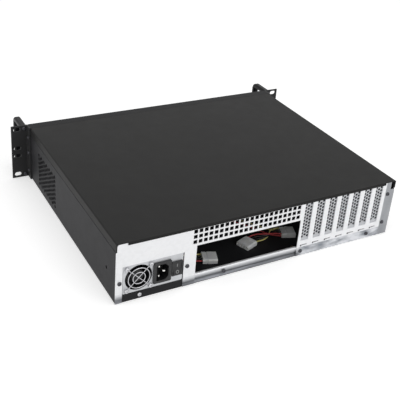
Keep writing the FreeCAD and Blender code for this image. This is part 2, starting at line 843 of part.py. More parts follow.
def handle(label, sign):
    """A bow handle: a bar with rounded edges, bent twice, tapped at both ends."""
    body = new_body(label)
    bottom, top = "(body_height / 2 - handle_height / 2)", "(body_height / 2 + handle_height / 2)"
    outline = sketch_on(body, "YZ", f"{sign} * handle_side")
    polygon(outline, [
        ("front", bottom),
        ("front - handle_reach", bottom, "handle_bend"),
        ("front - handle_reach", top, "handle_bend"),
        ("front", top),
        ("front", f"{top} - handle_thick"),
        ("front - handle_reach + handle_thick", f"{top} - handle_thick", "handle_bend - handle_thick"),
        ("front - handle_reach + handle_thick", f"{bottom} + handle_thick", "handle_bend - handle_thick"),
        ("front", f"{bottom} + handle_thick"),
    ])
    bar = pad(body, outline, "YZ", "handle_wide", 1)
    bar.SideType = "Symmetric"
    doc.recompute()

    front = size("front")
    rims = [
        f"Edge{number}" for number, edge in enumerate(bar.Shape.Edges, start=1)
        if abs(edge.BoundBox.XLength) < 0.01 and edge.BoundBox.YMin < front - 0.01
    ]
    rounding = body.newObject("PartDesign::Fillet", "Fillet")
    rounding.Base = (bar, rims)
    rounding.setExpression("Radius", spelled("handle_thick * 0.36"))
    doc.recompute()

    taps = sketch_on(body, "XZ", "front")
    for height in handle_screw_heights():
        circle(taps, f"{sign} * handle_side", height, "shank + hole_play")
    pocket(body, taps, "XZ", "handle_screw + 1", -1)


# ---------------------------------------------------------------- fans


def fan_frame(label, prefix, x, face, inward, height):
    """Square fan housing with a round duct, a motor seat on four struts and screw holes.

    The open side is at face, and inward is the way along Y to the side with the struts.
    """
    body = new_body(label)
    wide, depth, holes, bore = (f"{prefix}_{name}" for name in ("size", "depth", "holes", "bore"))
    square = sketch_on(body, "XZ", face)
    centred(square, x, height, wide, wide, f"{wide} * 0.07")
    circle(square, x, height, f"{bore} / 2")
    for a, b in CORNERS:
        circle(square, f"{x} + {a} * {holes} / 2", f"{height} + {b} * {holes} / 2", "shank + hole_play")
    pad(body, square, "XZ", depth, inward)

    # The sides are relieved between the two end flanges
    waist = sketch_on(body, "XZ", f"{face} + {inward} * {depth} * 0.2")
    near, far, span = f"({bore} / 2 + {wide} * 0.012)", f"({wide} / 2 + 1)", f"({holes} / 2 - {wide} * 0.17)"
    for sign in X_WAYS:
        middle = f"{sign} * ({near} + {far}) / 2"
        centred(waist, f"{x} + {middle}", height, f"{far} - {near}", f"2 * {span}")
        centred(waist, x, f"{height} + {middle}", f"2 * {span}", f"{far} - {near}")
    pocket(body, waist, "XZ", f"{depth} * 0.6", inward)

    far_side = f"{face} + {inward} * {depth}"
    seat = sketch_on(body, "XZ", far_side)
    circle(seat, x, height, f"{bore} * 0.24")
    pad(body, seat, "XZ", "fan_strut", -inward)
    for wide_strut, high_strut in ((f"{bore} + 1", "fan_strut"), ("fan_strut", f"{bore} + 1")):
        strut = sketch_on(body, "XZ", far_side)
        centred(strut, x, height, wide_strut, high_strut)
        pad(body, strut, "XZ", "fan_strut", -inward)


def fan_rotor(label, prefix, x, face, inward, height, blades):
    """Cupped hub with swept, twisted blades, turning on the frame's motor seat."""
    bore, depth, play = size(f"{prefix}_bore"), size(f"{prefix}_depth"), size("fan_play")
    tip, hub = bore / 2 - play, bore * 0.24
    long = depth - size("fan_strut") - 2 * play - 1
    seat_gap = play / 2
    edge = 0.8
    fan = turned([(0, 0), (hub, 0), (hub, long - edge), (hub - edge, long), (0, long)], Vector(), Vector(0, 0, 1))
    for index in range(blades):
        sections = []
        for radius, pitch_angle, lead in ((hub - 0.6, 52, 0), ((hub + tip) / 2, 38, 9), (tip - 0.5, 28, 20)):
            room = 2 * math.pi * radius / blades
            chord = min(long * 0.82 / math.sin(math.radians(pitch_angle)), room)
            sections.append(blade_section(radius, chord, pitch_angle, lead, long / 2, depth * 0.022))
        blade = Part.makeLoft(sections, True, False)
        blade.rotate(Vector(), Vector(0, 0, 1), index * 360 / blades)
        fan = fan.fuse(blade)
    shell = Part.makeCylinder(tip, long).common(fan.removeSplitter())
    seat = size(face) + inward * (depth - size("fan_strut") - seat_gap)
    turn = Rotation(Vector(0, 0, 1), Vector(0, -inward, 0))
    shell.Placement = Placement(Vector(size(x), seat, size(height)), turn)
    solid_part(label, shell)


def blade_section(radius, chord, pitch_angle, lead, height, thick):
    """A blade's outline at one radius: a flat-bottomed arc across the flow."""
    lean = math.radians(pitch_angle)
    turn = math.radians(lead)
    outline = []
    camber = ((-0.5, 0), (0, thick * 1.6), (0.5, 0), (0.5, -thick), (0, thick * 0.6), (-0.5, -thick))
    for along, across in camber:
        sideways = along * chord * math.cos(lean) - across * math.sin(lean)
        upward = along * chord * math.sin(lean) + across * math.cos(lean)
        outline.append(Vector(radius, sideways, height + upward))
    wire = Part.makePolygon(outline + [outline[0]])
    wire.rotate(Vector(), Vector(0, 0, 1), math.degrees(turn))
    return wire


# ---------------------------------------------------------------- power supply

FAN_X = "(half - psu_left - psu_fan_offset)"
INLET_X = "(half - psu_left - inlet_offset)"
SWITCH_X = "(half - psu_left - switch_offset)"
PSU_MIDDLE_X = "(psu_inner / 2 + psu_outer / 2)"
LEAD_X = "(psu_inner + lead_inset)"
LEAD_Z = "(psu_lift + lead_rise)"
ROCKER_PIVOT = "(psu_back + bezel - 2.4)"
ROCKER_SWING = 14
GROMMET_LIP = 1.2
GUARD_RINGS = (14.4, 8.2)
# The inlet's blades: place across and up from its middle, and length.
BLADES = ((3.4, 7, 12.5), (3.4, -7, 12.5), (-3.4, 0, 14))


def psu_case():
    """Folded trough with a rear face for fan, inlet and switch, and a vented front face."""
    body = new_body("psu_case")
    wall = "psu_sheet"
    rim = f"psu_top - {wall}"
    trough = sketch_on(body, "XZ", "psu_back")
    polygon(trough, [
        ("psu_inner", "psu_lift", f"bend + {wall}"),
        ("psu_outer", "psu_lift", f"bend + {wall}"),
        ("psu_outer", rim),
        (f"psu_outer - {wall}", rim),
        (f"psu_outer - {wall}", f"psu_lift + {wall}", "bend"),
        (f"psu_inner + {wall}", f"psu_lift + {wall}", "bend"),
        (f"psu_inner + {wall}", rim),
        ("psu_inner", rim),
    ])
    pad(body, trough, "XZ", "psu_long", -1)
    for place, inward in (("psu_back", -1), ("psu_front", 1)):
        face = sketch_on(body, "XZ", place)
        rectangle(face, f"psu_inner + {wall} / 2", f"psu_lift + {wall} / 2", f"psu_outer - {wall} / 2", rim)
        pad(body, face, "XZ", wall, inward)

    openings = sketch_on(body, "XZ", "psu_back")
    circle(openings, FAN_X, "psu_middle", "psu_fan_bore / 2")
    for a, b in CORNERS:
        x, height = f"{FAN_X} + {a} * psu_fan_holes / 2", f"psu_middle + {b} * psu_fan_holes / 2"
        circle(openings, x, height, "shank + hole_play")
    centred(openings, INLET_X, "psu_middle", "inlet_wide - 2 * inlet_shoulder", "inlet_high - 2 * inlet_ledge")
    centred(openings, SWITCH_X, "psu_middle", "switch_wide - 2 * switch_rim", "switch_high - 2 * switch_rim")
    pocket(body, openings, "XZ", f"2 * {wall}", -1)

    leads = sketch_on(body, "XZ", "psu_front")
    circle(leads, LEAD_X, LEAD_Z, "grommet_radius")
    pocket(body, leads, "XZ", f"2 * {wall}", 1)
    vent = sketch_on(body, "XZ", "psu_front")
    centred(vent, "psu_outer - psu_vent_inset", "psu_lift + psu_vent_floor", "psu_vent_wide", "psu_vent_high")
    cut = pocket(body, vent, "XZ", f"2 * {wall}", 1)
    grid(body, cut, ("X", -1, "psu_vent_columns", "psu_vent_pitch"), ("Z", 1, "psu_vent_rows", "psu_vent_row"))


def psu_cover():
    """Flat lid of the supply with flanges down inside its trough."""
    body = new_body("psu_cover")
    wall = "psu_sheet"
    outline = sketch_on(body, "XZ", f"psu_back - {wall} - slip")
    half_outline = [
        ("psu_wide / 2", f"psu_top - {wall}"),
        ("psu_wide / 2", "psu_top"),
    ]
    inner = [
        (f"psu_wide / 2 - {wall}", f"psu_top - {wall}"),
        (f"psu_wide / 2 - {wall}", "psu_top - cover_flange"),
        (f"psu_wide / 2 - 2 * {wall}", "psu_top - cover_flange"),
        (f"psu_wide / 2 - 2 * {wall}", f"psu_top - {wall}"),
    ]
    side = list(reversed(inner)) + half_outline
    ring = [(f"{PSU_MIDDLE_X} + {x}", z) for x, z in side]
    ring += [(f"{PSU_MIDDLE_X} - ({x})", z) for x, z in reversed(side)]
    polygon(outline, ring)
    pad(body, outline, "XZ", f"psu_long - 2 * ({wall} + slip)", -1)

    ends = sketch_on(body, "XY", "psu_top")
    for edge, inward in (("psu_back", -1), ("psu_front", 1)):
        stop = f"{edge} + {inward} * ({wall} + slip + 1)"
        low, high = (stop, edge) if inward < 0 else (edge, stop)
        rectangle(ends, "psu_inner", low, "psu_outer", high)
    pad(body, ends, "XY", wall, -1)


def psu_tray():
    """Bridge that carries the supply above the rear flange, standing on two feet."""
    body = new_body("psu_tray")
    outline = sketch_on(body, "XZ", "psu_back - 16")
    wall = "tray_sheet"
    edge = "psu_wide / 2 - tray_inset"
    side = [
        (f"{edge} - tray_foot", "base_sheet"),
        (edge, "base_sheet", f"bend + {wall}"),
        (edge, "psu_lift", f"bend + {wall}"),
    ]
    inner = [
        (f"{edge} - {wall}", f"psu_lift - {wall}", "bend"),
        (f"{edge} - {wall}", f"base_sheet + {wall}", "bend"),
        (f"{edge} - tray_foot", f"base_sheet + {wall}"),
    ]
    right = [(f"{PSU_MIDDLE_X} + {corner[0]}",) + tuple(corner[1:]) for corner in side]
    left = [(f"{PSU_MIDDLE_X} - ({corner[0]})",) + tuple(corner[1:]) for corner in reversed(side)]
    left_inner = [(f"{PSU_MIDDLE_X} - ({corner[0]})",) + tuple(corner[1:]) for corner in reversed(inner)]
    right_inner = [(f"{PSU_MIDDLE_X} + {corner[0]}",) + tuple(corner[1:]) for corner in inner]
    polygon(outline, right + left + left_inner + right_inner)
    pad(body, outline, "XZ", "psu_long * 0.7", -1)


def inlet_body():
    """Socket for a mains lead, set upright: flange, body and a keyed well."""
    body = new_body("inlet_body")
    flange = sketch_on(body, "XZ", "psu_back")
    centred(flange, INLET_X, "psu_middle", "inlet_wide", "inlet_high", "1.5")
    pad(body, flange, "XZ", "bezel", 1)
    neck = sketch_on(body, "XZ", "psu_back + bezel / 2")
    centred(neck, INLET_X, "psu_middle", "inlet_wide - 2 * inlet_shoulder - slip",
            "inlet_high - 2 * inlet_ledge - slip", "1")
    pad(body, neck, "XZ", "inlet_deep + 1.5", -1)
    well = sketch_on(body, "XZ", "psu_back + bezel")
    right, left = f"{INLET_X} + well_wide / 2", f"{INLET_X} - well_wide / 2"
    bottom, top = "psu_middle - well_high / 2", "psu_middle + well_high / 2"
    polygon(well, [
        (right, bottom, "1"),
        (right, top, "1"),
        (f"{left} + well_key", top),
        (left, f"{top} - well_key"),
        (left, f"{bottom} + well_key"),
        (f"{left} + well_key", bottom),
    ])
    pocket(body, well, "XZ", "inlet_deep + bezel / 2 - 1", -1)


def inlet_pins():
    """Three flat blades standing in the socket's well, the earth blade longest."""
    blades = []
    floor = size("psu_back + bezel - (inlet_deep + bezel / 2 - 1)")
    wide, thick, taper = 4.0, 2.0, 1.2
    for across, up, long in BLADES:
        profile = [(-wide / 2, 0), (wide / 2, 0), (wide / 2, long - taper), (wide / 2 - taper, long),
                   (taper - wide / 2, long), (-wide / 2, long - taper)]
        points = [Vector(x, y, -thick / 2) for x, y in profile]
        blade = Part.Face(Part.makePolygon(points + [points[0]])).extrude(Vector(0, 0, thick))
        blade.translate(Vector(size(INLET_X) + across, floor, size("psu_middle") + up))
        blades.append(blade)
    solid_part("inlet_pins", Part.makeCompound(blades))


def switch_body():
    """Rocker switch housing: bezel, body and the well that the rocker swings in."""
    body = new_body("switch_body")
    bezel = sketch_on(body, "XZ", "psu_back")
    centred(bezel, SWITCH_X, "psu_middle", "switch_wide", "switch_high", "0.8")
    pad(body, bezel, "XZ", "bezel", 1)
    block = sketch_on(body, "XZ", "psu_back + bezel / 2")
    centred(block, SWITCH_X, "psu_middle", "switch_wide - 2 * switch_rim - slip",
            "switch_high - 2 * switch_rim - slip")
    pad(body, block, "XZ", "switch_deep", -1)
    well = sketch_on(body, "XZ", "psu_back + bezel")
    centred(well, SWITCH_X, "psu_middle", "rocker_wide + 2 * slip", "2 * (rocker_radius + slip)")
    pocket(body, well, "XZ", "bezel + 6", -1)


def switch_rocker():
    """Rocker with a shallow V face and round ends, resting with its lower half in."""
    body = new_body("switch_rocker")
    outline = sketch_on(body, "YZ", "0")
    lip, rear = "3", "4.5"
    rise = f"sqrt(rocker_radius * rocker_radius - {lip} * {lip})"
    drop = f"sqrt(rocker_radius * rocker_radius - {rear} * {rear})"
    polygon(outline, [
        (lip, f"-({rise})", "0.6"),
        ("1.7", "0"),
        (lip, rise, "0.6"),
        ("0", "rocker_radius - 0.05", "6"),
        (f"-({rear})", drop),
        (f"-({rear})", f"-({drop})"),
        ("0", "0.05 - rocker_radius", "6"),
    ])
    block = pad(body, outline, "YZ", "rocker_wide", 1)
    block.SideType = "Symmetric"
    pivot = Vector(size(SWITCH_X), size(ROCKER_PIVOT), size("psu_middle"))
    body.Placement = Placement(pivot, Rotation(Vector(1, 0, 0), ROCKER_SWING / 2))


def heat_sink(corner):
    """An upright plate with six fins across it."""
    wall, long, high = 2.5, 70, 23
    fin_wide, fin_thick, fin_pitch, first, count = 8, 2, 13, 2, 6
    sink = Part.makeBox(wall, long, high, corner)
    for step in range(count):
        shift = Vector((wall - fin_wide) / 2, first + fin_pitch * step, 0)
        sink = sink.fuse(Part.makeBox(fin_wide, fin_thick, high, corner + shift))
    return sink


def psu_board():
    """Circuit board on four posts with heat sinks, a transformer and capacitors."""
    floor = size("psu_lift + psu_sheet")
    edge_gap, front_gap, fan_gap = 2, 4, 3
    left, right = size("psu_inner + psu_sheet") + edge_gap, size("psu_outer - psu_sheet") - edge_gap
    near = size("psu_front + psu_sheet") + front_gap
    far = size("psu_back - psu_sheet - psu_fan_depth") - fan_gap
    post, thick, post_radius, inset = 4.0, 1.6, 2.5, 5
    board = Part.makeBox(right - left, far - near, thick, Vector(left, near, floor + post))
    for x in (left + inset, right - inset):
        for y in (near + inset, far - inset):
            board = board.fuse(Part.makeCylinder(post_radius, post + thick / 2, Vector(x, y, floor)))
    deck = floor + post + thick / 2
    for x in (left + 20, right - 22):
        board = board.fuse(heat_sink(Vector(x, near + 22, deck)))
    middle = (left + right) / 2
    wide, long, high, chamfer = 22, 30, 21, 2
    core = Part.makeBox(wide, long, high, Vector(middle - wide / 2, near + 40, deck))
    board = board.fuse(core.makeChamfer(chamfer, core.Edges))
    for across, along, radius, high in ((0, 88, 8, 24), (-8, 18, 5, 18), (8, 18, 5, 18)):
        board = board.fuse(Part.makeCylinder(radius, high, Vector(middle + across, near + along, deck)))
    solid_part("psu_board", board.removeSplitter())


def psu_grommet():
    """Grooved bushing that grips the leads where they leave the supply."""
    middle = Vector(size(LEAD_X), size("psu_front"), size(LEAD_Z))
    hole, wall = size("grommet_radius"), size("psu_sheet")
    lip = hole + 1.6
    profile = [
        (0, -wall - GROMMET_LIP), (lip, -wall - GROMMET_LIP), (lip, -wall), (hole, -wall),
        (hole, 0), (lip, 0), (lip, GROMMET_LIP), (0, GROMMET_LIP),
    ]
    solid_part("psu_grommet", turned(profile, middle, Vector(0, -1, 0)))


def psu_fan_guard():
    """Welded wire finger guard: two rings on crossed arms that end in screw eyes."""
    radius = size("guard_wire") / 2
    plane = size("psu_back") + radius
    middle = Vector(size(FAN_X), plane, size("psu_middle"))
    corner = size("psu_fan_holes") / 2
    back = Vector(0, 1, 0)
    guard = None
    eye_ring = size("shank + 2 * hole_play") + radius
    for a, b in CORNERS:
        centre = middle + Vector(a * corner, 0, b * corner)
        inward = (middle - centre).normalize()
        start = centre + inward * eye_ring
        piece = Part.makeTorus(eye_ring, radius, centre, back)
        arm = Part.makeCylinder(radius, (middle - start).Length, start, inward)
        piece = piece.fuse(arm)
        guard = piece if guard is None else guard.fuse(piece)
    for ring in GUARD_RINGS:
        guard = guard.fuse(Part.makeTorus(ring, radius, middle + back * (radius * 1.5), back))
    solid_part("psu_fan_guard", guard.removeSplitter())


# ---------------------------------------------------------------- drive bracket and standoffs

# Side screws of a 3.5 inch drive, from its rear end, and their height above its underside.
DRIVE_SCREWS = ("28.5", "70.1", "130.1")
DRIVE_SCREW_FLOOR = "6.35"
# Board mounting holes of an ATX board, from its left and rear edges as seen from behind.
BOARD_COLUMNS = (6.35, 163.83, 288.29)
BOARD_ROWS = (10.16, 165.1, 237.49)

def drive_bracket():
    """Open channel on the floor for two stacked drives, with their side screw holes."""
    body = new_body("drive_bracket")
    wall = "bracket_sheet"
    near = "(front_in + slip)"
    far = f"({near} + drive_wide + 2 * slip + 2 * {wall})"
    rim = f"base_sheet + {wall} + bracket_high"
    section = sketch_on(body, "YZ", "-bracket_left")
    polygon(section, [
        (near, "base_sheet", f"bend + {wall}"),
        (far, "base_sheet", f"bend + {wall}"),
        (far, rim),
        (f"{far} - {wall}", rim),
        (f"{far} - {wall}", f"base_sheet + {wall}", "bend"),
        (f"{near} + {wall}", f"base_sheet + {wall}", "bend"),
        (f"{near} + {wall}", rim),
        (near, rim),
    ])
    pad(body, section, "YZ", "drive_long", -1)

    holes = sketch_on(body, "XZ", near)
    for place in DRIVE_SCREWS:
        circle(holes, f"-bracket_left - {place}", f"base_sheet + {wall} + {DRIVE_SCREW_FLOOR}", "drive_screw")
    cut = pocket(body, holes, "XZ", "drive_wide + 2 * bracket_sheet + 2", 1)
    grid(body, cut, ("Z", 1, "2", "drive_pitch"))

    windows = sketch_on(body, "XY", f"base_sheet + {wall}")
    stadium(windows, "-bracket_left - window_left", f"{near} + window_front", "window_length", "window_width")
    cut = pocket(body, windows, "XY", f"2 * {wall}", -1)
    grid(body, cut, ("X", -1, "window_columns", "window_pitch"), ("Y", 1, "window_rows", "window_row"))


def motherboard_standoffs():
    """Nine tapped hexagonal spacers at the board's mounting holes."""
    floor, high, across = size("base_sheet"), size("standoff_high"), size("standoff_flats")
    tip = across / 2 / math.cos(math.radians(30))
    corners = [Vector(tip, 0, 0)]
    for index in range(6):
        corners.append(Rotation(Vector(0, 0, 1), 60 * (index + 1)).multVec(corners[0]))
    hexagonal = Part.Face(Part.makePolygon(corners)).extrude(Vector(0, 0, high))
    rounding = Part.makeCone(tip + high / 2, tip - 0.35, high + 0.01)
    post = hexagonal.common(rounding).cut(Part.makeCylinder(1.4, high))
    posts = []
    for column in BOARD_COLUMNS:
        for row in BOARD_ROWS:
            place = Vector(size("half - board_left") - column, size("panel_in - board_gap") - row, floor)
            posts.append(post.translated(place))
    solid_part("motherboard_standoffs", Part.makeCompound(posts))


# ---------------------------------------------------------------- controls

SWITCH_HIGH = 5.0

def button(label, place, hole):
    """A push button with a flange behind the panel and a stem toward its switch."""
    cap, flange = size(hole) - size("slip"), size(hole) + 1.5
    back = size("button_flange")
    face = back + size("slip + front_sheet") + 1
    stem, edge = 1.5, 0.4
    reach = size("control_depth") - SWITCH_HIGH - size("button_travel + slip + button_flange") - 0.15
    profile = [(0, face), (cap - edge, face), (cap, face - edge), (cap, back), (flange, back),
               (flange, 0), (stem, 0), (stem, -reach), (0, -reach)]
    base = Vector(size(place), size("front_in + slip") + back, size("control_floor"))
    solid_part(label, turned(profile, base, Vector(0, -1, 0)))


def control_board():
    """Circuit board behind the panel on two posts, with a push switch for each button."""
    left, right = size(POWER) - 10, size(USBS[1]) + 10
    face = size("front_in + control_depth")
    floor, high = size("control_floor") - 8, 16
    board = Part.makeBox(right - left, size("board_thick"), high, Vector(left, face, floor))
    for place in BOARD_POSTS:
        start = Vector(size(place), size("front_in"), size("control_floor"))
        board = board.fuse(Part.makeCylinder(2, size("control_depth") + 0.5, start, Vector(0, 1, 0)))
    case, plunger = 3.5, 1.7
    for place in (POWER, RESET):
        corner = Vector(size(place) - 3, face - case, size("control_floor") - 3)
        board = board.fuse(Part.makeBox(6, case + 0.5, 6, corner))
        tip = Vector(size(place), face - SWITCH_HIGH, size("control_floor"))
        board = board.fuse(Part.makeCylinder(plunger, SWITCH_HIGH - case + 0.5, tip, Vector(0, 1, 0)))
    connector = Vector(size(LEDS[1]) + 3, face + size("board_thick") / 2, size("control_floor") - 4)
    board = board.fuse(Part.makeBox(8, 7, 8, connector))
    solid_part("control_board", board.removeSplitter())


def indicator_leds():
    """Two round-nosed lamps from the board to the panel's face."""
    lamps = []
    radius = size("led_radius") - 0.1
    for place in LEDS:
        start = Vector(size(place), size("front_in + control_depth"), size("control_floor"))
        long = size("control_depth + front_sheet")
        lamp = Part.makeCylinder(radius, long, start, Vector(0, -1, 0))
        nose = Part.makeSphere(radius, start + Vector(0, -long, 0))
        lamps.append(lamp.fuse(nose).removeSplitter())
    solid_part("indicator_leds", Part.makeCompound(lamps))


def usb_ports():
    """Two metal-shelled sockets, each with its tongue, open at the panel's face."""
    ports = []
    wide, high = size("usb_wide - slip"), size("usb_high - slip")
    long, wall, back = size("control_depth + front_sheet"), 0.5, 1.5
    for place in USBS:
        x, floor, face = size(place), size("control_floor"), size("front")
        shell = Part.makeBox(wide, long, high, Vector(x - wide / 2, face, floor - high / 2))
        well = Part.makeBox(wide - 2 * wall, long - back, high - 2 * wall,
                            Vector(x - wide / 2 + wall, face, floor - high / 2 + wall))
        tongue = Part.makeBox(wide - 2.4, long - 2, 1.9, Vector(x - wide / 2 + 1.2, face + 1.2, floor))
        ports.append(shell.cut(well).fuse(tongue).removeSplitter())
    solid_part("usb_ports", Part.makeCompound(ports))


# ---------------------------------------------------------------- screws


def screw_set(label, places, outward_length):
    """One node of equal screws. Each place is a base point and the way its head faces."""
    screws = [screw(Vector(*(size(axis) for axis in base)), Vector(*outward), outward_length)
              for base, outward in places]
    solid_part(label, Part.makeCompound(screws))


def all_screws():
    """Every set of screws, each set in one node."""
    to_rear = (0, 1, 0)
    rear = [((f"half - ({place})", "rear", height), to_rear) for place, height in REAR_SCREWS]
    place, height = PSU_TRAY_SCREW
    rear.append(((f"half - ({place})", "panel_in", height), to_rear))
    screw_set("rear_screws", rear, size("panel_sheet + base_sheet") + 2)

    tabs = [((f"half - slot_first - {index} * slot_pitch", "panel_in - cover_tab / 2", "cover_top"), (0, 0, 1))
            for index in range(int(SIZES["slot_count"]))]
    screw_set("slot_cover_screws", tabs, size("cover_sheet + rail_sheet") + 1.5)

    ears = [((f"{sign} * (half + ear_sheet)", EAR_SCREW_PLACE, height), (sign, 0, 0))
            for sign in X_WAYS for height in EAR_SCREWS]
    screw_set("ear_screws", ears, size("ear_sheet + base_sheet + front_sheet") + 1)

    handles = [((f"{sign} * handle_side", "front + ear_sheet", height), to_rear)
               for sign in X_WAYS for height in handle_screw_heights()]
    screw_set("handle_screws", handles, size("ear_sheet + handle_screw"))

    fans = [((x, "front", height), (0, -1, 0)) for turn in (0, 1) for x, height in fan_corners(turn)]
    screw_set("fan_screws", fans, size("front_sheet + fan_depth * 0.2") + 3)

    guard = []
    for a, b in CORNERS:
        x, height = f"{FAN_X} + {a} * psu_fan_holes / 2", f"psu_middle + {b} * psu_fan_holes / 2"
        guard.append(((x, "psu_back + guard_wire", height), to_rear))
    screw_set("psu_fan_screws", guard, size("guard_wire + psu_sheet + psu_fan_depth * 0.2") + 2)


# ---------------------------------------------------------------- leads

# Each plug's middle and the way its wires leave it, in degrees from +X.
PLUGS = ((62.5, 137.0, -20.3), (-3.5, 126.7, 200.5), (-73.4, 124.3, -20.3))


def drive_plug(index):
    """A four-way plug lying flat: keyed outline, a groove on top and four contact wells."""
    x, y, way = PLUGS[index]
    wide, long, high = size("plug_wide"), size("plug_long"), size("plug_high")
    key = 1.6
    outline = [
        (-wide / 2, 0), (wide / 2, 0), (wide / 2, high - key),
        (wide / 2 - key, high), (key - wide / 2, high), (-wide / 2, high - key),
    ]
    points = [Vector(-long / 2, across, up) for across, up in outline]
    body = Part.Face(Part.makePolygon(points + [points[0]])).extrude(Vector(long, 0, 0))
    for side in (-1.5, -0.5, 0.5, 1.5):
        across = side * size("plug_pitch")
        well = Part.makeCylinder(1.75, long * 0.6, Vector(-long / 2, across, high / 2), Vector(1, 0, 0))
        body = body.cut(well)
    groove = Part.makeBox(1.4, wide + 2, 0.7, Vector(long / 2 - 5.2, -wide / 2 - 1, high - 0.7))
    body = body.cut(groove)
    body.Placement = Placement(Vector(x, y, size("base_sheet")), Rotation(Vector(0, 0, 1), way))
    solid_part(f"drive_plug_{index + 1}", body)


# Routes of the flat leads. Each point is x, y, z, the wires' pitch there and their roll.
# A roll of 0 lays them side by side on the floor, and 90 stacks them.
LEADS = {
    "supply_lead": [
        (139.9, 23.3, 27.9, 2.6, 0),
        (139.9, 12.5, 27.2, 2.5, 0),
        (139.6, -3, 20.5, 2.4, 0),
        (137.5, -17, 10.5, 2.4, 0),
        (129, -27.5, 4.5, 2.4, 0),
        (117.5, -24, 2.4, 2.4, 0),
        (112.5, -9, 2.3, 2.4, 0),
        (111.5, 12, 2.3, 2.4, 0),
        (112.5, 38, 2.3, 2.4, 0),
        (114, 66, 2.3, 2.4, 0),
        (113.5, 92, 2.3, 2.4, 0),
        (107, 112, 2.6, 2.8, 0),
        (95.5, 123.5, 3.6, 3.8, 0),
        (83.5, 129.2, 4.4, 5.08, 0),
        (72.1, 133.4, 4.5, 5.08, 0),
    ],
    "drive_lead": [
        (-13.1, 123.1, 4.5, 5.08, 180),
        (-21.7, 119.9, 4.7, 4.6, 192),
        (-32, 124, 5.8, 2.9, 235),
        (-43.5, 124.5, 7.0, 2.4, 305),
        (-54, 117.1, 6.3, 4.8, 360),
        (-63.8, 120.7, 6.2, 5.08, 360),
    ],
    "long_lead": [
        (139.9, 23.3, 24.9, 2.6, 0),
        (139.9, 14, 23, 2.5, 0),
        (139.8, 2, 12, 2.4, 0),
        (139.5, -12, 3.6, 2.4, 0),
        (138.5, -29, 2.4, 2.4, 0),
        (128, -45, 2.3, 2.4, 0),
        (106, -52, 2.3, 2.4, 0),
        (80, -43, 2.3, 2.4, 0),
        (55, -22, 2.3, 2.4, 0),
        (32, 3, 2.3, 2.4, 0),
        (10, 30, 2.3, 2.4, 0),
        (-12, 56, 2.3, 2.4, 0),
        (-30, 79, 2.3, 2.6, 0),
        (-42, 98, 2.5, 3.4, 0),
        (-53.6, 116.9, 2.9, 4.8, 0),
        (-63.8, 120.7, 2.9, 5.08, 0),
    ],
}
WIRES = ("yellow", "black_inner", "black_outer", "red")


def lead_wires(route):
    """The route of each wire of a flat lead, spread about the lead's own route."""
    middles = [Vector(*point[:3]) for point in route]
    routes = [[] for _ in WIRES]
    for index, (_, _, _, pitch, roll) in enumerate(route):
        before, after = middles[max(index - 1, 0)], middles[min(index + 1, len(route) - 1)]
        heading = after - before
        left = Vector(-heading.y, heading.x, 0).normalize()
        turn = math.radians(roll)
        spread = left * math.cos(turn) + Vector(0, 0, 1) * math.sin(turn)
        for order, points in enumerate(routes):
            points.append(middles[index] + spread * (pitch * (1.5 - order)))
    return routes


def cord(label, points):
    """A round wire along a route: straight runs joined by tangent arcs."""
    edges, radii, start = [], [], points[0]
    for before, corner, after in zip(points, points[1:], points[2:]):
        back, ahead = before - corner, after - corner
        shorter = min(back.Length, ahead.Length)
        back.normalize()
        ahead.normalize()
        half_turn = (math.pi - back.getAngle(ahead)) / 2
        reach = 0.45 * shorter
        radii.append(reach / math.tan(half_turn))
        arrive, leave = corner + back * reach, corner + ahead * reach
        centre = corner + (back + ahead).normalize() * (radii[-1] / math.cos(half_turn))
        middle = centre + (corner - centre).normalize() * radii[-1]
        edges += [Part.makeLine(start, arrive), Part.Arc(arrive, middle, leave).toShape()]
        start = leave
    edges.append(Part.makeLine(start, points[-1]))
    spine = Part.Wire(edges)
    radius = size("wire") / 2
    ring = Part.Wire(Part.makeCircle(radius, points[0], points[1] - points[0]))
    tube = spine.makePipeShell([ring], True, False)
    expected = math.pi * radius ** 2 * spine.Length
    if abs(tube.Volume - expected) > 0.02 * expected:
        raise RuntimeError(f"{label}: volume {tube.Volume:.0f}, not {expected:.0f}")
    print(f"{label}: length {spine.Length:.0f}, tightest bend {min(radii):.1f}")
    solid_part(label, tube)


# ---------------------------------------------------------------- the whole case


def build():
    """Makes every piece, in the order of assembly."""
    base_tray()
    rear_panel()
    for index in range(int(SIZES["slot_count"])):
        slot_cover(index)
    slot_rail()
    lid()
    front_panel()
    for side, sign in (("left", -1), ("right", 1)):
        rack_ear(f"rack_ear_{side}", sign)
        handle(f"handle_{side}", sign)
    for turn in (0, 1):
        middle = f"(fan_first + {turn} * fan_pitch)"
        fan_frame(f"fan_frame_{turn + 1}", "fan", middle, "front_in", 1, "body_height / 2")
        fan_rotor(f"fan_rotor_{turn + 1}", "fan", middle, "front_in", 1, "body_height / 2", 7)
    drive_bracket()
    motherboard_standoffs()
    button("power_button", POWER, "power_radius")
    button("reset_button", RESET, "reset_radius")
    control_board()
    indicator_leds()
    usb_ports()
    psu_case()
    psu_cover()
    psu_tray()
    inner_face = "(psu_back - psu_sheet)"
    fan_frame("psu_fan_frame", "psu_fan", FAN_X, inner_face, -1, "psu_middle")
    fan_rotor("psu_fan_rotor", "psu_fan", FAN_X, inner_face, -1, "psu_middle", 7)
    psu_fan_guard()
    inlet_body()
    inlet_pins()
    switch_body()
    switch_rocker()
    psu_board()
    psu_grommet()
    all_screws()
    for index in range(len(PLUGS)):
        drive_plug(index)
    for lead, route in LEADS.items():
        for colour, points in zip(WIRES, lead_wires(route)):
            cord(f"{lead}_{colour}", points)


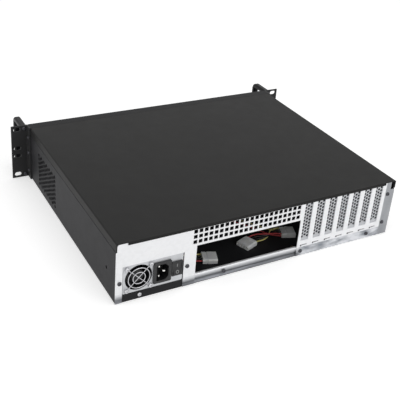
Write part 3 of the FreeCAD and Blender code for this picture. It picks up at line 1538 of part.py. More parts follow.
def check_cuts():
    """Stops if a pocket removes nothing, or a pattern not as much as its repeats should."""
    for feature in doc.Objects:
        if feature.TypeId not in ("PartDesign::Pocket", "PartDesign::LinearPattern"):
            continue
        removed = feature.BaseFeature.Shape.Volume - feature.Shape.Volume
        due = 0.001
        if feature.TypeId == "PartDesign::LinearPattern":
            first = feature.Originals[0]
            repeats = feature.Occurrences * max(feature.Occurrences2, 1) - 1
            due = 0.98 * repeats * (first.BaseFeature.Shape.Volume - first.Shape.Volume)
        if removed < due:
            raise RuntimeError(f"{feature.Name}: removed {removed:.2f}, less than {due:.2f}")


def check_and_export():
    """Checks every object and shape, then writes each node's file."""
    for feature in doc.Objects:
        if "Invalid" in feature.State or "Error" in feature.State:
            raise RuntimeError(f"{feature.Name}: {feature.State}")
    check_cuts()
    os.makedirs("parts", exist_ok=True)
    for part in PARTS:
        if part.Shape.isNull() or not part.Shape.isValid() or part.Shape.Volume <= 0:
            raise RuntimeError(f"{part.Label}: not a valid solid")
        part.Shape.exportStep(f"parts/{part.Label}.step")
    print(f"{len(PARTS)} nodes")


build()
doc.recompute()
check_and_export()
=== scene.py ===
"""Looks of the short 2U server case: finishes, screws, leads and plugs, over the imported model."""
import bmesh
import bpy
import math
import random
from mathutils import Matrix, Vector
from mathutils.bvhtree import BVHTree


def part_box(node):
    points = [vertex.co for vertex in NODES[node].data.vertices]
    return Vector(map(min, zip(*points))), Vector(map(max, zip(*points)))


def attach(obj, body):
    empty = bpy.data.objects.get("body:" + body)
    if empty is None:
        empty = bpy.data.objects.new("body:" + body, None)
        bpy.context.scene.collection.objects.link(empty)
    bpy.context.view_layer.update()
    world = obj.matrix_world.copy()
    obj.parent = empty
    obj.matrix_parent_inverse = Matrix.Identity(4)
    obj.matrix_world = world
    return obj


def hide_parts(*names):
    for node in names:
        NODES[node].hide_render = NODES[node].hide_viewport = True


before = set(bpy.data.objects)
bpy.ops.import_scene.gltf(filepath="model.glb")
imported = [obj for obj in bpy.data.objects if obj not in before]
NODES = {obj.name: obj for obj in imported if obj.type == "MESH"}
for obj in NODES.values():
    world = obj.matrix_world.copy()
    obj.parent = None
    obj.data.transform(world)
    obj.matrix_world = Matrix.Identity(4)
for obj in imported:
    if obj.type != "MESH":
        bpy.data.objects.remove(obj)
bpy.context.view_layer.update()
MM = 0.001
MATERIALS = {}


# ---------------------------------------------------------------- camera, light and floor

# The camera stands behind the case, to its right as seen from the front, and looks down at it.
CAMERA = {
    "place": (0.5081, 0.8466, 0.5872), "azimuth": 149.53, "down": 26.75, "roll": 4.73,
    "lens": 67.45, "shift": -0.125, "near": 0.01,
}
# Each soft box: name, place, target, width and height in metres, and power in watts.
LIGHTS = (
    ("key", (-0.5, 2.0, 1.2), (0, 0.1, 0.05), 1.8, 1.2, 11),
    ("top", (-0.2, 0.2, 2.2), (0, 0, 0), 2.2, 2.2, 9),
    ("side", (2.0, 0.2, 0.7), (0, 0, 0.05), 1.2, 1.0, 6),
)
WHITE = (1, 1, 1, 1)
# Strength of the world where it is seen or mirrored, and where it lights the scene.
SEEN_STRENGTH = 1.0
GATHERED_STRENGTH = 0.5
FLOOR_REACH = 6.0
FLOOR_DROP = 0.5 * MM
FLOOR_TONE = (0.8, 0.8, 0.8, 1)
FLOOR_ROUGHNESS = 0.9
FLOOR_GLOW = 0.5


def set_camera():
    """Puts the camera behind the case and tilts it by its roll."""
    azimuth, down, roll = (math.radians(CAMERA[name]) for name in ("azimuth", "down", "roll"))
    level = math.cos(down)
    back = Vector((math.sin(azimuth) * level, -math.cos(azimuth) * level, math.sin(down)))
    right = Vector((0, 0, 1)).cross(back).normalized()
    up = back.cross(right)
    tilted_right = right * math.cos(roll) + up * math.sin(roll)
    tilted_up = up * math.cos(roll) - right * math.sin(roll)
    turn = Matrix((tilted_right, tilted_up, back)).transposed()
    data = bpy.data.cameras.new("camera")
    data.lens = CAMERA["lens"]
    data.shift_y = CAMERA["shift"]
    data.clip_start = CAMERA["near"]
    camera = bpy.data.objects.new("camera", data)
    camera.matrix_world = Matrix.Translation(CAMERA["place"]) @ turn.to_4x4()
    bpy.context.collection.objects.link(camera)
    bpy.context.scene.camera = camera


def add_light(name, place, target, wide, high, power):
    """A soft box aimed at a point."""
    data = bpy.data.lights.new(name, "AREA")
    data.shape = "RECTANGLE"
    data.size = wide
    data.size_y = high
    data.energy = power
    light = bpy.data.objects.new(name, data)
    light.location = place
    light.rotation_euler = (Vector(target) - Vector(place)).to_track_quat("-Z", "Y").to_euler()
    bpy.context.collection.objects.link(light)


def seen_directly(nodes, links):
    """One for a ray from the camera, a reflection or glass, and nothing for gathered light."""
    path = nodes.new("ShaderNodeLightPath")
    seen = path.outputs["Is Camera Ray"]
    for ray in ("Is Glossy Ray", "Is Transmission Ray"):
        either = nodes.new("ShaderNodeMath")
        either.operation = "MAXIMUM"
        links.new(seen, either.inputs[0])
        links.new(path.outputs[ray], either.inputs[1])
        seen = either.outputs[0]
    return seen


def set_world():
    """White to the eye and in reflections, and a softer grey as a source of light."""
    bpy.context.scene.view_settings.view_transform = "Standard"
    world = bpy.data.worlds.new("studio")
    bpy.context.scene.world = world
    world.use_nodes = True
    nodes, links = world.node_tree.nodes, world.node_tree.links
    nodes.clear()
    blend = nodes.new("ShaderNodeMixShader")
    links.new(seen_directly(nodes, links), blend.inputs[0])
    for socket, strength in ((1, GATHERED_STRENGTH), (2, SEEN_STRENGTH)):
        background = nodes.new("ShaderNodeBackground")
        background.inputs["Color"].default_value = WHITE
        background.inputs["Strength"].default_value = strength
        links.new(background.outputs[0], blend.inputs[socket])
    out = nodes.new("ShaderNodeOutputWorld")
    links.new(blend.outputs[0], out.inputs["Surface"])


def add_floor():
    """A wide pale floor that stays white and takes a faint shadow."""
    mesh = bpy.data.meshes.new("floor")
    corners = [(x * FLOOR_REACH, y * FLOOR_REACH, 0) for x, y in ((-1, -1), (1, -1), (1, 1), (-1, 1))]
    mesh.from_pydata(corners, [], [(0, 1, 2, 3)])
    floor = bpy.data.objects.new("floor", mesh)
    floor.location.z = -FLOOR_DROP
    bpy.context.collection.objects.link(floor)
    finish = bpy.data.materials.new("floor_white")
    finish.use_nodes = True
    nodes, links = finish.node_tree.nodes, finish.node_tree.links
    surface = nodes["Principled BSDF"]
    surface.inputs["Base Color"].default_value = FLOOR_TONE
    surface.inputs["Roughness"].default_value = FLOOR_ROUGHNESS
    surface.inputs["Specular IOR Level"].default_value = 0.0
    surface.inputs["Emission Color"].default_value = WHITE
    glow = nodes.new("ShaderNodeMath")
    glow.operation = "MULTIPLY"
    glow.inputs[1].default_value = FLOOR_GLOW
    links.new(seen_directly(nodes, links), glow.inputs[0])
    links.new(glow.outputs[0], surface.inputs["Emission Strength"])
    mesh.materials.append(finish)


# ---------------------------------------------------------------- materials


class Shader:
    """A principled material and short calls for the nodes that feed it."""

    def __init__(self, name, colour, roughness, metallic=0.0, specular=0.5):
        self.material = bpy.data.materials.new(name)
        self.material.use_nodes = True
        self.nodes = self.material.node_tree.nodes
        self.links = self.material.node_tree.links
        self.surface = self.nodes["Principled BSDF"]
        self.surface.inputs["Base Color"].default_value = (*colour, 1)
        self.surface.inputs["Roughness"].default_value = roughness
        self.surface.inputs["Metallic"].default_value = metallic
        self.surface.inputs["Specular IOR Level"].default_value = specular
        self.place = self.nodes.new("ShaderNodeTexCoord").outputs["Object"]
        MATERIALS[name] = self.material

    def stretched(self, stretch):
        """Object coordinates scaled along each axis."""
        mapping = self.nodes.new("ShaderNodeMapping")
        mapping.inputs["Scale"].default_value = stretch
        self.links.new(self.place, mapping.inputs["Vector"])
        return mapping.outputs[0]

    def noise(self, lumps, detail=2.0, stretch=(1, 1, 1)):
        """Noise with so many lumps a metre."""
        texture = self.nodes.new("ShaderNodeTexNoise")
        texture.inputs["Scale"].default_value = lumps
        texture.inputs["Detail"].default_value = detail
        self.links.new(self.stretched(stretch), texture.inputs["Vector"])
        return texture.outputs["Fac"]

    def cells(self, lumps):
        """Flat-toned cells, so many a metre, for zinc spangle or the copper under solder mask."""
        texture = self.nodes.new("ShaderNodeTexVoronoi")
        texture.inputs["Scale"].default_value = lumps
        self.links.new(self.place, texture.inputs["Vector"])
        return texture.outputs["Color"]

    def ramp(self, value, low, high, start=0.3, stop=0.7):
        """A smooth change from one tone to another."""
        node = self.nodes.new("ShaderNodeValToRGB")
        node.color_ramp.elements[0].position = start
        node.color_ramp.elements[1].position = stop
        node.color_ramp.elements[0].color = (*low, 1)
        node.color_ramp.elements[1].color = (*high, 1)
        self.links.new(value, node.inputs[0])
        return node.outputs[0]

    def range(self, value, low, high):
        """A value stretched from 0..1 to low..high."""
        node = self.nodes.new("ShaderNodeMapRange")
        node.inputs["To Min"].default_value = low
        node.inputs["To Max"].default_value = high
        self.links.new(value, node.inputs["Value"])
        return node.outputs[0]

    def along(self, axis, start, stop):
        """Nothing below start and one above stop along an object axis, with a smooth step between."""
        split = self.nodes.new("ShaderNodeSeparateXYZ")
        self.links.new(self.place, split.inputs[0])
        step = self.nodes.new("ShaderNodeMapRange")
        step.interpolation_type = "SMOOTHSTEP"
        step.inputs["From Min"].default_value = start
        step.inputs["From Max"].default_value = stop
        self.links.new(split.outputs[axis], step.inputs["Value"])
        return step.outputs[0]

    def blend(self, share, below, above):
        """One colour where share is nothing, the other where it is one. Either may be a fixed tone."""
        node = self.nodes.new("ShaderNodeMix")
        node.data_type = "RGBA"
        self.links.new(share, node.inputs[0])
        for socket, colour in ((node.inputs[6], below), (node.inputs[7], above)):
            if isinstance(colour, tuple):
                socket.default_value = (*colour, 1)
            else:
                self.links.new(colour, socket)
        return node.outputs[2]

    def colour(self, colour):
        """Colours the surface with a node's output."""
        self.links.new(colour, self.surface.inputs["Base Color"])

    def tint(self, value, low, high):
        """Colours the surface between two tones by a value."""
        self.links.new(self.ramp(value, low, high), self.surface.inputs["Base Color"])

    def gloss(self, value, low, high):
        """Roughness between two values."""
        self.links.new(self.range(value, low, high), self.surface.inputs["Roughness"])

    def bump(self, value, height, strength=1.0):
        """Relief of a real height, in metres."""
        node = self.nodes.new("ShaderNodeBump")
        node.inputs["Strength"].default_value = strength
        node.inputs["Distance"].default_value = height
        self.links.new(value, node.inputs["Height"])
        self.links.new(node.outputs[0], self.surface.inputs["Normal"])


# Stretches of noise along the axes, and heights of relief in metres.
GLOSS_STRETCH = (1, 1, 9)
LINE_STRETCH = (1, 1, 0.1)
STREAK_STRETCH = (0.35, 1, 9)
BLOTCH_STRETCH = (1, 1, 2.4)
EDGE_STRETCH = (1, 1, 0.4)
FINE_RELIEF = 0.01 * MM
GRAIN_RELIEF = 0.02 * MM
COAT_RELIEF = 0.03 * MM
SMOOTH_RELIEF = 0.005 * MM


def scaled(tone, factor):
    """A tone made lighter or darker."""
    return tuple(channel * factor for channel in tone)


def powder_coat(name, tone, roughness, grain=2600.0, specular=0.12):
    """Satin powder coat with a fine orange-peel surface."""
    shader = Shader(name, tone, roughness, specular=specular)
    shader.tint(shader.noise(lumps=14.0, detail=3.0), scaled(tone, 0.93), scaled(tone, 1.07))
    shader.gloss(shader.noise(lumps=60.0, detail=4.0), roughness - 0.04, roughness + 0.05)
    shader.bump(shader.noise(lumps=grain, detail=2.0), COAT_RELIEF, strength=0.35)


def add_rolling_lines(shader, roughness):
    """The uneven gloss and faint upright lines of rolled and plated sheet."""
    bands = shader.noise(lumps=40.0, detail=3.0, stretch=GLOSS_STRETCH)
    shader.gloss(bands, roughness - 0.05, roughness + 0.06)
    shader.bump(shader.noise(lumps=900.0, detail=2.0, stretch=LINE_STRETCH), FINE_RELIEF, strength=0.3)


def zinc_sheet(name, tone, roughness, metallic):
    """Zinc-plated sheet with a faint spangle and rolling lines."""
    shader = Shader(name, tone, roughness, metallic)
    shader.tint(shader.cells(lumps=160.0), scaled(tone, 0.975), scaled(tone, 1.02))
    add_rolling_lines(shader, roughness)


# The rear panel's places of change along X and Z. Its tones: two and where the change between them
# starts and stops, for the sill at low X (blotchy, darkened as painted shade) and at high X (painted
# shade), then the sill's painted highlight line and the bent edge's painted shade.
SILL_TOP = (13.6 * MM, 14.4 * MM)
SILL_SPLIT = (-66 * MM, -52 * MM)
# Heights over which the sill at high X turns from painted shade to the painted highlight.
SILL_PAINTED_HIGHLIGHT_SPAN = (5 * MM, 13.5 * MM)
# Sill at low X: blotchy zinc, darker than the sheet as painted shade.
LOW_X_SILL_BLOTCHES_AND_SHADE = ((0.26, 0.28, 0.31), (0.76, 0.77, 0.80), 0.38, 0.64)
# Painted shade: the sill at high X, dark where it would lie in shade.
HIGH_X_SILL_PAINTED_SHADE = ((0.05, 0.055, 0.06), (0.34, 0.35, 0.38), 0.3, 0.75)
# Painted highlight: the bright line along the sill's top.
SILL_PAINTED_HIGHLIGHT_TONE = (0.78, 0.79, 0.81)
# Painted shade: the bent edge darkened in place of its own shading.
EDGE_PAINTED_SHADE_TONES = ((0.24, 0.25, 0.27), (0.46, 0.47, 0.49))
EDGE_SPLIT = (-199.6 * MM, -198.6 * MM)


def panel_zinc_with_painted_light(name, tone, roughness, metallic):
    """The rear panel's zinc: bright sheet, a streaked sill darkened low down as painted shade with a
    painted highlight along its top, and a bent edge darkened as painted shade.
    """
    shader = Shader(name, tone, roughness, metallic)
    sheet = shader.ramp(shader.cells(lumps=240.0), scaled(tone, 0.985), scaled(tone, 1.012))
    streaks = shader.noise(lumps=30.0, detail=4.0, stretch=STREAK_STRETCH)
    blotches = shader.noise(lumps=38.0, detail=3.0, stretch=BLOTCH_STRETCH)
    # Blotchy zinc on the sill at low X, darkened as painted shade.
    low_x_sill_blotches_and_shade = shader.ramp(blotches, *LOW_X_SILL_BLOTCHES_AND_SHADE)
    # Painted shade on the sill at high X, turning to a painted highlight near its top.
    high_x_sill_painted_shade = shader.ramp(streaks, *HIGH_X_SILL_PAINTED_SHADE)
    high_x_sill_painted_shade = shader.blend(shader.along(2, *SILL_PAINTED_HIGHLIGHT_SPAN), high_x_sill_painted_shade, SILL_PAINTED_HIGHLIGHT_TONE)
    sill = shader.blend(shader.along(0, *SILL_SPLIT), low_x_sill_blotches_and_shade, high_x_sill_painted_shade)
    # Below the sill's top the panel takes the sill's painted-shade tones.
    sheet = shader.blend(shader.along(2, *SILL_TOP), sill, sheet)
    # Painted shade on the bent edge at low X.
    edge = shader.ramp(shader.noise(lumps=26.0, detail=3.0, stretch=EDGE_STRETCH), *EDGE_PAINTED_SHADE_TONES)
    sheet = shader.blend(shader.along(0, *EDGE_SPLIT), edge, sheet)
    shader.colour(sheet)
    add_rolling_lines(shader, roughness)


def bright_metal(name, tone, roughness):
    """Plated or bare metal of small parts."""
    shader = Shader(name, tone, roughness, metallic=1.0)
    shader.tint(shader.noise(lumps=350.0), scaled(tone, 0.88), tone)
    shader.gloss(shader.noise(lumps=900.0, detail=3.0), roughness - 0.05, roughness + 0.09)


def moulded(name, tone, roughness, grain=3000.0, height=GRAIN_RELIEF):
    """Moulded plastic with a fine grain."""
    shader = Shader(name, tone, roughness)
    shader.tint(shader.noise(lumps=90.0, detail=3.0), scaled(tone, 0.9), scaled(tone, 1.1))
    shader.gloss(shader.noise(lumps=200.0, detail=3.0), roughness - 0.05, roughness + 0.06)
    shader.bump(shader.noise(lumps=grain, detail=2.0), height, strength=0.4)


def nylon(name, tone):
    """Slightly milky plug nylon that lets a little light in."""
    shader = Shader(name, tone, roughness=0.42)
    shader.surface.inputs["Subsurface Weight"].default_value = 0.25
    shader.surface.inputs["Subsurface Radius"].default_value = (0.004, 0.004, 0.0045)
    shader.surface.inputs["Subsurface Scale"].default_value = 0.5
    shader.tint(shader.noise(lumps=120.0, detail=3.0), scaled(tone, 0.94), scaled(tone, 1.03))
    shader.bump(shader.noise(lumps=1400.0, detail=2.0), GRAIN_RELIEF, strength=0.4)


def insulation(name, tone):
    """Smooth wire insulation with faint drawing marks."""
    shader = Shader(name, tone, roughness=0.34)
    shader.tint(shader.noise(lumps=160.0, detail=2.0), scaled(tone, 0.9), scaled(tone, 1.08))
    shader.gloss(shader.noise(lumps=700.0, detail=2.0), low=0.28, high=0.42)
    shader.bump(shader.noise(lumps=1800.0, detail=2.0), FINE_RELIEF, strength=0.5)


def board_mask(name):
    """Green solder mask over faint copper areas."""
    shader = Shader(name, (0.02, 0.1, 0.045), roughness=0.35)
    shader.tint(shader.cells(lumps=220.0), (0.012, 0.075, 0.035), (0.03, 0.14, 0.06))
    shader.gloss(shader.noise(lumps=300.0), low=0.28, high=0.45)


def make_materials():
    """Every finish of the case, by name."""
    powder_coat("lid_coat", (0.017, 0.0168, 0.0165), roughness=0.5)
    powder_coat("wall_coat", (0.022, 0.022, 0.024), roughness=0.5)
    powder_coat("front_coat", (0.012, 0.012, 0.013), roughness=0.5)
    powder_coat("ear_coat", (0.036, 0.036, 0.037), roughness=0.46)
    powder_coat("handle_coat", (0.012, 0.012, 0.013), roughness=0.33, grain=4000.0)
    # The rear panel's zinc carries painted shade on its sill and bent edge, and a painted highlight
    # along the sill.
    panel_zinc_with_painted_light("panel_zinc", (0.90, 0.905, 0.92), roughness=0.42, metallic=0.5)
    zinc_sheet("zinc", (0.80, 0.81, 0.83), roughness=0.42, metallic=0.6)
    zinc_sheet("cover_zinc", (0.52, 0.53, 0.55), roughness=0.4, metallic=0.6)
    zinc_sheet("supply_zinc", (0.62, 0.63, 0.65), roughness=0.48, metallic=0.55)
    zinc_sheet("bracket_zinc", (0.30, 0.31, 0.33), roughness=0.45, metallic=0.8)
    bright_metal("chrome_wire", (0.55, 0.55, 0.57), roughness=0.2)
    bright_metal("silver_screw", (0.6, 0.6, 0.62), roughness=0.27)
    bright_metal("dark_screw", (0.09, 0.09, 0.1), roughness=0.32)
    bright_metal("pin_metal", (0.84, 0.83, 0.8), roughness=0.16)
    bright_metal("brass", (0.72, 0.52, 0.22), roughness=0.28)
    moulded("black_plastic", (0.010, 0.010, 0.011), roughness=0.42)
    moulded("fan_plastic", (0.012, 0.012, 0.013), roughness=0.5)
    moulded("rocker_plastic", (0.005, 0.005, 0.006), roughness=0.34, grain=2500.0,
            height=SMOOTH_RELIEF)
    moulded("grommet_rubber", (0.015, 0.015, 0.016), roughness=0.7)
    moulded("mark_paint", (0.34, 0.34, 0.34), roughness=0.5)
    moulded("lamp_green", (0.16, 0.42, 0.18), roughness=0.2)
    nylon("plug_nylon", (0.93, 0.94, 0.93))
    insulation("wire_yellow", (0.86, 0.76, 0.28))
    insulation("wire_red", (0.58, 0.07, 0.08))
    insulation("wire_black", (0.010, 0.010, 0.011))
    board_mask("board_green")


FINISHES = {
    "lid": "lid_coat", "base_tray": "wall_coat", "front_panel": "front_coat",
    "rack_ear_left": "ear_coat", "rack_ear_right": "ear_coat",
    "handle_left": "handle_coat", "handle_right": "handle_coat",
    "rear_panel": "panel_zinc", "slot_rail": "zinc", "drive_bracket": "bracket_zinc",
    "psu_case": "supply_zinc", "psu_cover": "supply_zinc", "psu_tray": "bracket_zinc",
    "psu_fan_guard": "chrome_wire", "psu_fan_frame": "fan_plastic", "psu_fan_rotor": "fan_plastic",
    "psu_grommet": "grommet_rubber", "psu_board": "board_green",
    "fan_frame_1": "fan_plastic", "fan_frame_2": "fan_plastic",
    "fan_rotor_1": "fan_plastic", "fan_rotor_2": "fan_plastic",
    "inlet_body": "black_plastic", "inlet_pins": "pin_metal",
    "switch_body": "black_plastic", "switch_rocker": "rocker_plastic",
    "power_button": "black_plastic", "reset_button": "black_plastic",
    "indicator_leds": "lamp_green", "usb_ports": "silver_screw", "control_board": "board_green",
    "motherboard_standoffs": "brass",
    **{f"slot_cover_{number}": "cover_zinc" for number in range(1, 8)},
}


def finish_nodes():
    """Gives each node that stays in view its finish."""
    for name, finish in FINISHES.items():
        materials = NODES[name].data.materials
        materials.clear()
        materials.append(MATERIALS[finish])


# ---------------------------------------------------------------- building blocks


def piece(name, build, finish, body="case"):
    """A mesh object from a bmesh that build fills in, riding on a body."""
    form = bmesh.new()
    build(form)
    mesh = bpy.data.meshes.new(name)
    form.to_mesh(mesh)
    form.free()
    mesh.materials.append(MATERIALS[finish])
    made = bpy.data.objects.new(name, mesh)
    bpy.context.collection.objects.link(made)
    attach(made, body)
    return made


def add_rings(form, rings, closed=True):
    """Faces between rings of points that hold as many points each."""
    rows = [[form.verts.new(point) for point in ring] for ring in rings]
    count = len(rows[0])
    for below, above in zip(rows, rows[1:]):
        for index in range(count if closed else count - 1):
            after = (index + 1) % count
            form.faces.new((below[index], below[after], above[after], above[index])).smooth = True
    return rows


def separate_solids(node):
    """The points of each separate solid in a node's mesh. Faces that share a place belong together."""
    mesh = NODES[node].data
    places = {}
    roots = []
    for vertex in mesh.vertices:
        key = tuple(round(value, 6) for value in vertex.co)
        roots.append(places.setdefault(key, vertex.index))

    def root(index):
        while roots[index] != index:
            index = roots[index]
        return index

    for edge in mesh.edges:
        first, second = (root(index) for index in edge.vertices)
        roots[max(first, second)] = min(first, second)
    groups = {}
    for vertex in mesh.vertices:
        groups.setdefault(root(vertex.index), []).append(vertex.co.copy())
    return list(groups.values())


# ---------------------------------------------------------------- screws

HEAD_RADIUS = 2.9 * MM
HEAD_HIGH = 1.9 * MM
SHANK_RADIUS = 1.6 * MM
THREAD_PITCH = 0.7 * MM
THREAD_DEPTH = 0.22 * MM
CROSS_REACH = 1.75 * MM
CROSS_HALF = 0.42 * MM
CROSS_DEPTH = 1.1 * MM
CROSS_SLOPE = 0.22 * MM
HEAD_SIDES = 56
HEAD_RINGS = 16
SHANK_SIDES = 20
RINGS_PER_TURN = 4
# The rear screw that holds the supply's tray is the bright one below this height.
TRAY_SCREW_TOP = 7 * MM
# How near to a screw's end its rim's points lie.
END_SLACK = 0.02 * MM
# Place across and height of the sill's screw, how far it goes into the sheet and its cross's turn.
SILL_SCREW = (62 * MM, 8 * MM)
SILL_SCREW_SHANK = 0.9 * MM
SILL_SCREW_TURN = 0.6
SCREW_SEED = 11


def ease(value):
    """A smooth step from 0 to 1."""
    value = min(1.0, max(0.0, value))
    return value * value * (3 - 2 * value)


def head_height(across, up):
    """Height of a domed head with a cross recess over a point of its face."""
    reach = math.hypot(across, up) / HEAD_RADIUS
    dome = HEAD_HIGH * math.sqrt(max(0.0, 1 - reach ** 4))
    narrow, long = sorted((abs(across), abs(up)))
    within_width = ease((CROSS_HALF - narrow) / CROSS_SLOPE + 0.5)
    within_length = ease((CROSS_REACH - long) / CROSS_SLOPE + 0.5)
    return dome - CROSS_DEPTH * within_width * within_length


def circle_spots(radius, sides):
    """Points of a circle about the origin, as pairs."""
    turns = [2 * math.pi * side / sides for side in range(sides)]
    return [(radius * math.cos(turn), radius * math.sin(turn)) for turn in turns]


def thread_radius(depth, share):
    """Radius of a threaded shank at a depth, part of a turn round."""
    wave = math.cos(2 * math.pi * (depth / THREAD_PITCH - share))
    return SHANK_RADIUS - THREAD_DEPTH * (0.5 - 0.5 * wave)


def add_screw(form, base, outward, length, twist):
    """A pan head screw with a cross recess and a threaded shank."""
    turn = Vector(outward).to_track_quat("Z", "Y").to_matrix() @ Matrix.Rotation(twist, 3, "Z")

    def placed(across, up, height):
        """A point of the screw from its place on the head's face."""
        return base + turn @ Vector((across, up, height))

    rings = []
    for step in range(1, HEAD_RINGS + 1):
        spots = circle_spots(HEAD_RADIUS * step / HEAD_RINGS, HEAD_SIDES)
        rings.append([placed(*spot, head_height(*spot)) for spot in spots])
    rings.append([placed(*spot, 0) for spot in circle_spots(SHANK_RADIUS, HEAD_SIDES)])
    rows = add_rings(form, rings)
    middle = form.verts.new(placed(0, 0, head_height(0, 0)))
    for index in range(HEAD_SIDES):
        form.faces.new((middle, rows[0][index], rows[0][(index + 1) % HEAD_SIDES])).smooth = True
    steps = max(2, round(length / THREAD_PITCH * RINGS_PER_TURN))
    thread = []
    for step in range(steps + 1):
        depth = length * step / steps
        unit = circle_spots(1.0, SHANK_SIDES)
        radii = [thread_radius(depth, side / SHANK_SIDES) for side in range(SHANK_SIDES)]
        thread.append([placed(x * r, y * r, -depth) for (x, y), r in zip(unit, radii)])
    rows = add_rings(form, thread)
    form.faces.new(rows[-1])


def screw_axis(points):
    """Base under the head, the way it faces and the shank's length, from a plain screw's points."""
    low = Vector([min(point[axis] for point in points) for axis in range(3)])
    high = Vector([max(point[axis] for point in points) for axis in range(3)])
    span = high - low
    axis = min(range(3), key=lambda spare: abs(span[(spare + 1) % 3] - span[(spare + 2) % 3]))
    middle = (low + high) / 2

    def reach(end):
        """How far the points of one end stand from the axis."""
        flat = [point - middle for point in points if abs(point[axis] - end) < END_SLACK]
        return max(math.hypot(point[(axis + 1) % 3], point[(axis + 2) % 3]) for point in flat)

    sign = 1 if reach(high[axis]) > reach(low[axis]) else -1
    outward = Vector([sign if index == axis else 0 for index in range(3)])
    base = middle + outward * (span[axis] / 2 - HEAD_HIGH)
    return base, outward, span[axis] - HEAD_HIGH


def add_screws(seed):
    """Detailed screws in place of each node of plain ones, every cross turned its own way."""
    for name in sorted(NODES):
        if not name.endswith("_screws"):
            continue
        finish = "silver_screw" if name in ("psu_fan_screws", "slot_cover_screws") else "dark_screw"

        def build(form, name=name):
            for points in separate_solids(name):
                base, outward, length = screw_axis(points)
                start = len(form.faces)
                add_screw(form, base, outward, length, seed.uniform(0, math.pi))
                form.faces.ensure_lookup_table()
                of_tray = name == "rear_screws" and base.z < TRAY_SCREW_TOP and base.x > 0
                for face in form.faces[start:]:
                    face.material_index = int(of_tray)

        screws = piece(f"{name}_threaded", build, finish)
        screws.data.materials.append(MATERIALS["silver_screw"])
        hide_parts(name)


def add_sill_screw():
    """The screw head on the rear panel's sill, below the port window."""
    panel_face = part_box("rear_panel")[1][1]
    across, up = SILL_SCREW

    def build(form):
        base = Vector((across, panel_face, up))
        add_screw(form, base, (0, 1, 0), SILL_SCREW_SHANK, SILL_SCREW_TURN)

    piece("sill_screw_head", build, "dark_screw")


# ---------------------------------------------------------------- plugs

PLUG_WIDE = 21.0 * MM
PLUG_HIGH = 7.0 * MM
PLUG_KEY = 1.6 * MM
PLUG_FLOOR = 1.0 * MM
PIN_PITCH = 5.08 * MM
LANES = 4
MIDDLE_LANE = (LANES - 1) / 2
PLUG_SOFT = 0.35 * MM
PLUG_FOOT_INSET = 0.2 * MM
PLUG_EDGE = 0.18 * MM
PLUG_EDGE_STEPS = 2
PLUG_EDGE_ANGLE = math.radians(40)
# Middle, depth and radius in millimetres of a contact's well and of its wire's opening.
WELLS = ((-9.25, 15.0, 1.75), (10.25, 2.4, 1.35))
WELL_SIDES = 24
CONTACT = {"mouth": -9.4 * MM, "root": -2.2 * MM, "outer": 1.25 * MM, "inner": 0.95 * MM}
# Thickness of a contact's root, and the small rings that close it, as parts of its radius.
CONTACT_FLOOR = 0.5 * MM
ROOT_RING = 0.2
FLOOR_RING = 0.1
CONTACT_SIDES = 20
# Middle of each plug on the case's floor in millimetres, and the way its wires leave in degrees.
PLUGS = {
    "drive_plug_1": (62.5, 137.0, -20.3),
    "drive_plug_2": (-3.5, 126.7, 200.5),
    "drive_plug_3": (-73.4, 124.3, -20.3),
}
# Places along a plug and how far its outline is pulled in there, in millimetres.
PLUG_STATIONS = (
    (-10.25, 0.45), (-9.9, 0.1), (-3.2, 0.1), (-3.0, 0.0), (2.6, 0.0), (2.8, 0.55),
    (4.4, 0.55), (4.6, 0.0), (5.6, 0.0), (5.75, 0.35), (6.35, 0.35), (6.5, 0.0),
    (7.4, 0.0), (7.55, 0.35), (8.15, 0.35), (8.3, 0.0), (9.9, 0.0), (10.25, 0.3),
)


def plug_section(inset):
    """A plug's keyed outline across its length, pulled in by inset."""
    half, key = PLUG_WIDE / 2 - inset, PLUG_KEY
    low, high = min(inset, PLUG_FOOT_INSET), PLUG_HIGH - inset
    return [
        (PLUG_SOFT - half, low), (half - PLUG_SOFT, low), (half, low + PLUG_SOFT), (half, high - key),
        (half - key, high), (key - half, high), (-half, high - key), (-half, low + PLUG_SOFT),
    ]


def close_ends(form, rows):
    """Caps the first and last ring and turns every face outwards."""
    form.faces.new(rows[0])
    form.faces.new(reversed(rows[-1]))
    bmesh.ops.recalc_face_normals(form, faces=form.faces)


def build_plug(form):
    """A plug's housing along X, with its moulded steps and grip grooves."""
    rings = []
    for place, inset in PLUG_STATIONS:
        rings.append([(place * MM, across, up) for across, up in plug_section(inset * MM)])
    close_ends(form, add_rings(form, rings))
    for face in form.faces:
        face.smooth = False


def add_contact(form, lane):
    """A tubular contact along X, open at its mouth and closed at its root."""
    mouth, root, outer, inner = (CONTACT[name] for name in ("mouth", "root", "outer", "inner"))
    floor = root - CONTACT_FLOOR
    stations = (
        (root, ROOT_RING * outer), (root, outer), (mouth, outer),
        (mouth, inner), (floor, inner), (floor, FLOOR_RING * outer),
    )
    rings = []
    for place, radius in stations:
        spots = circle_spots(radius, CONTACT_SIDES)
        rings.append([(place, lane + across, PLUG_HIGH / 2 + up) for across, up in spots])
    close_ends(form, add_rings(form, rings))


def plug_lanes():
    """Distance of each of the four contacts from a plug's middle line."""
    return [(lane - MIDDLE_LANE) * PIN_PITCH for lane in range(LANES)]


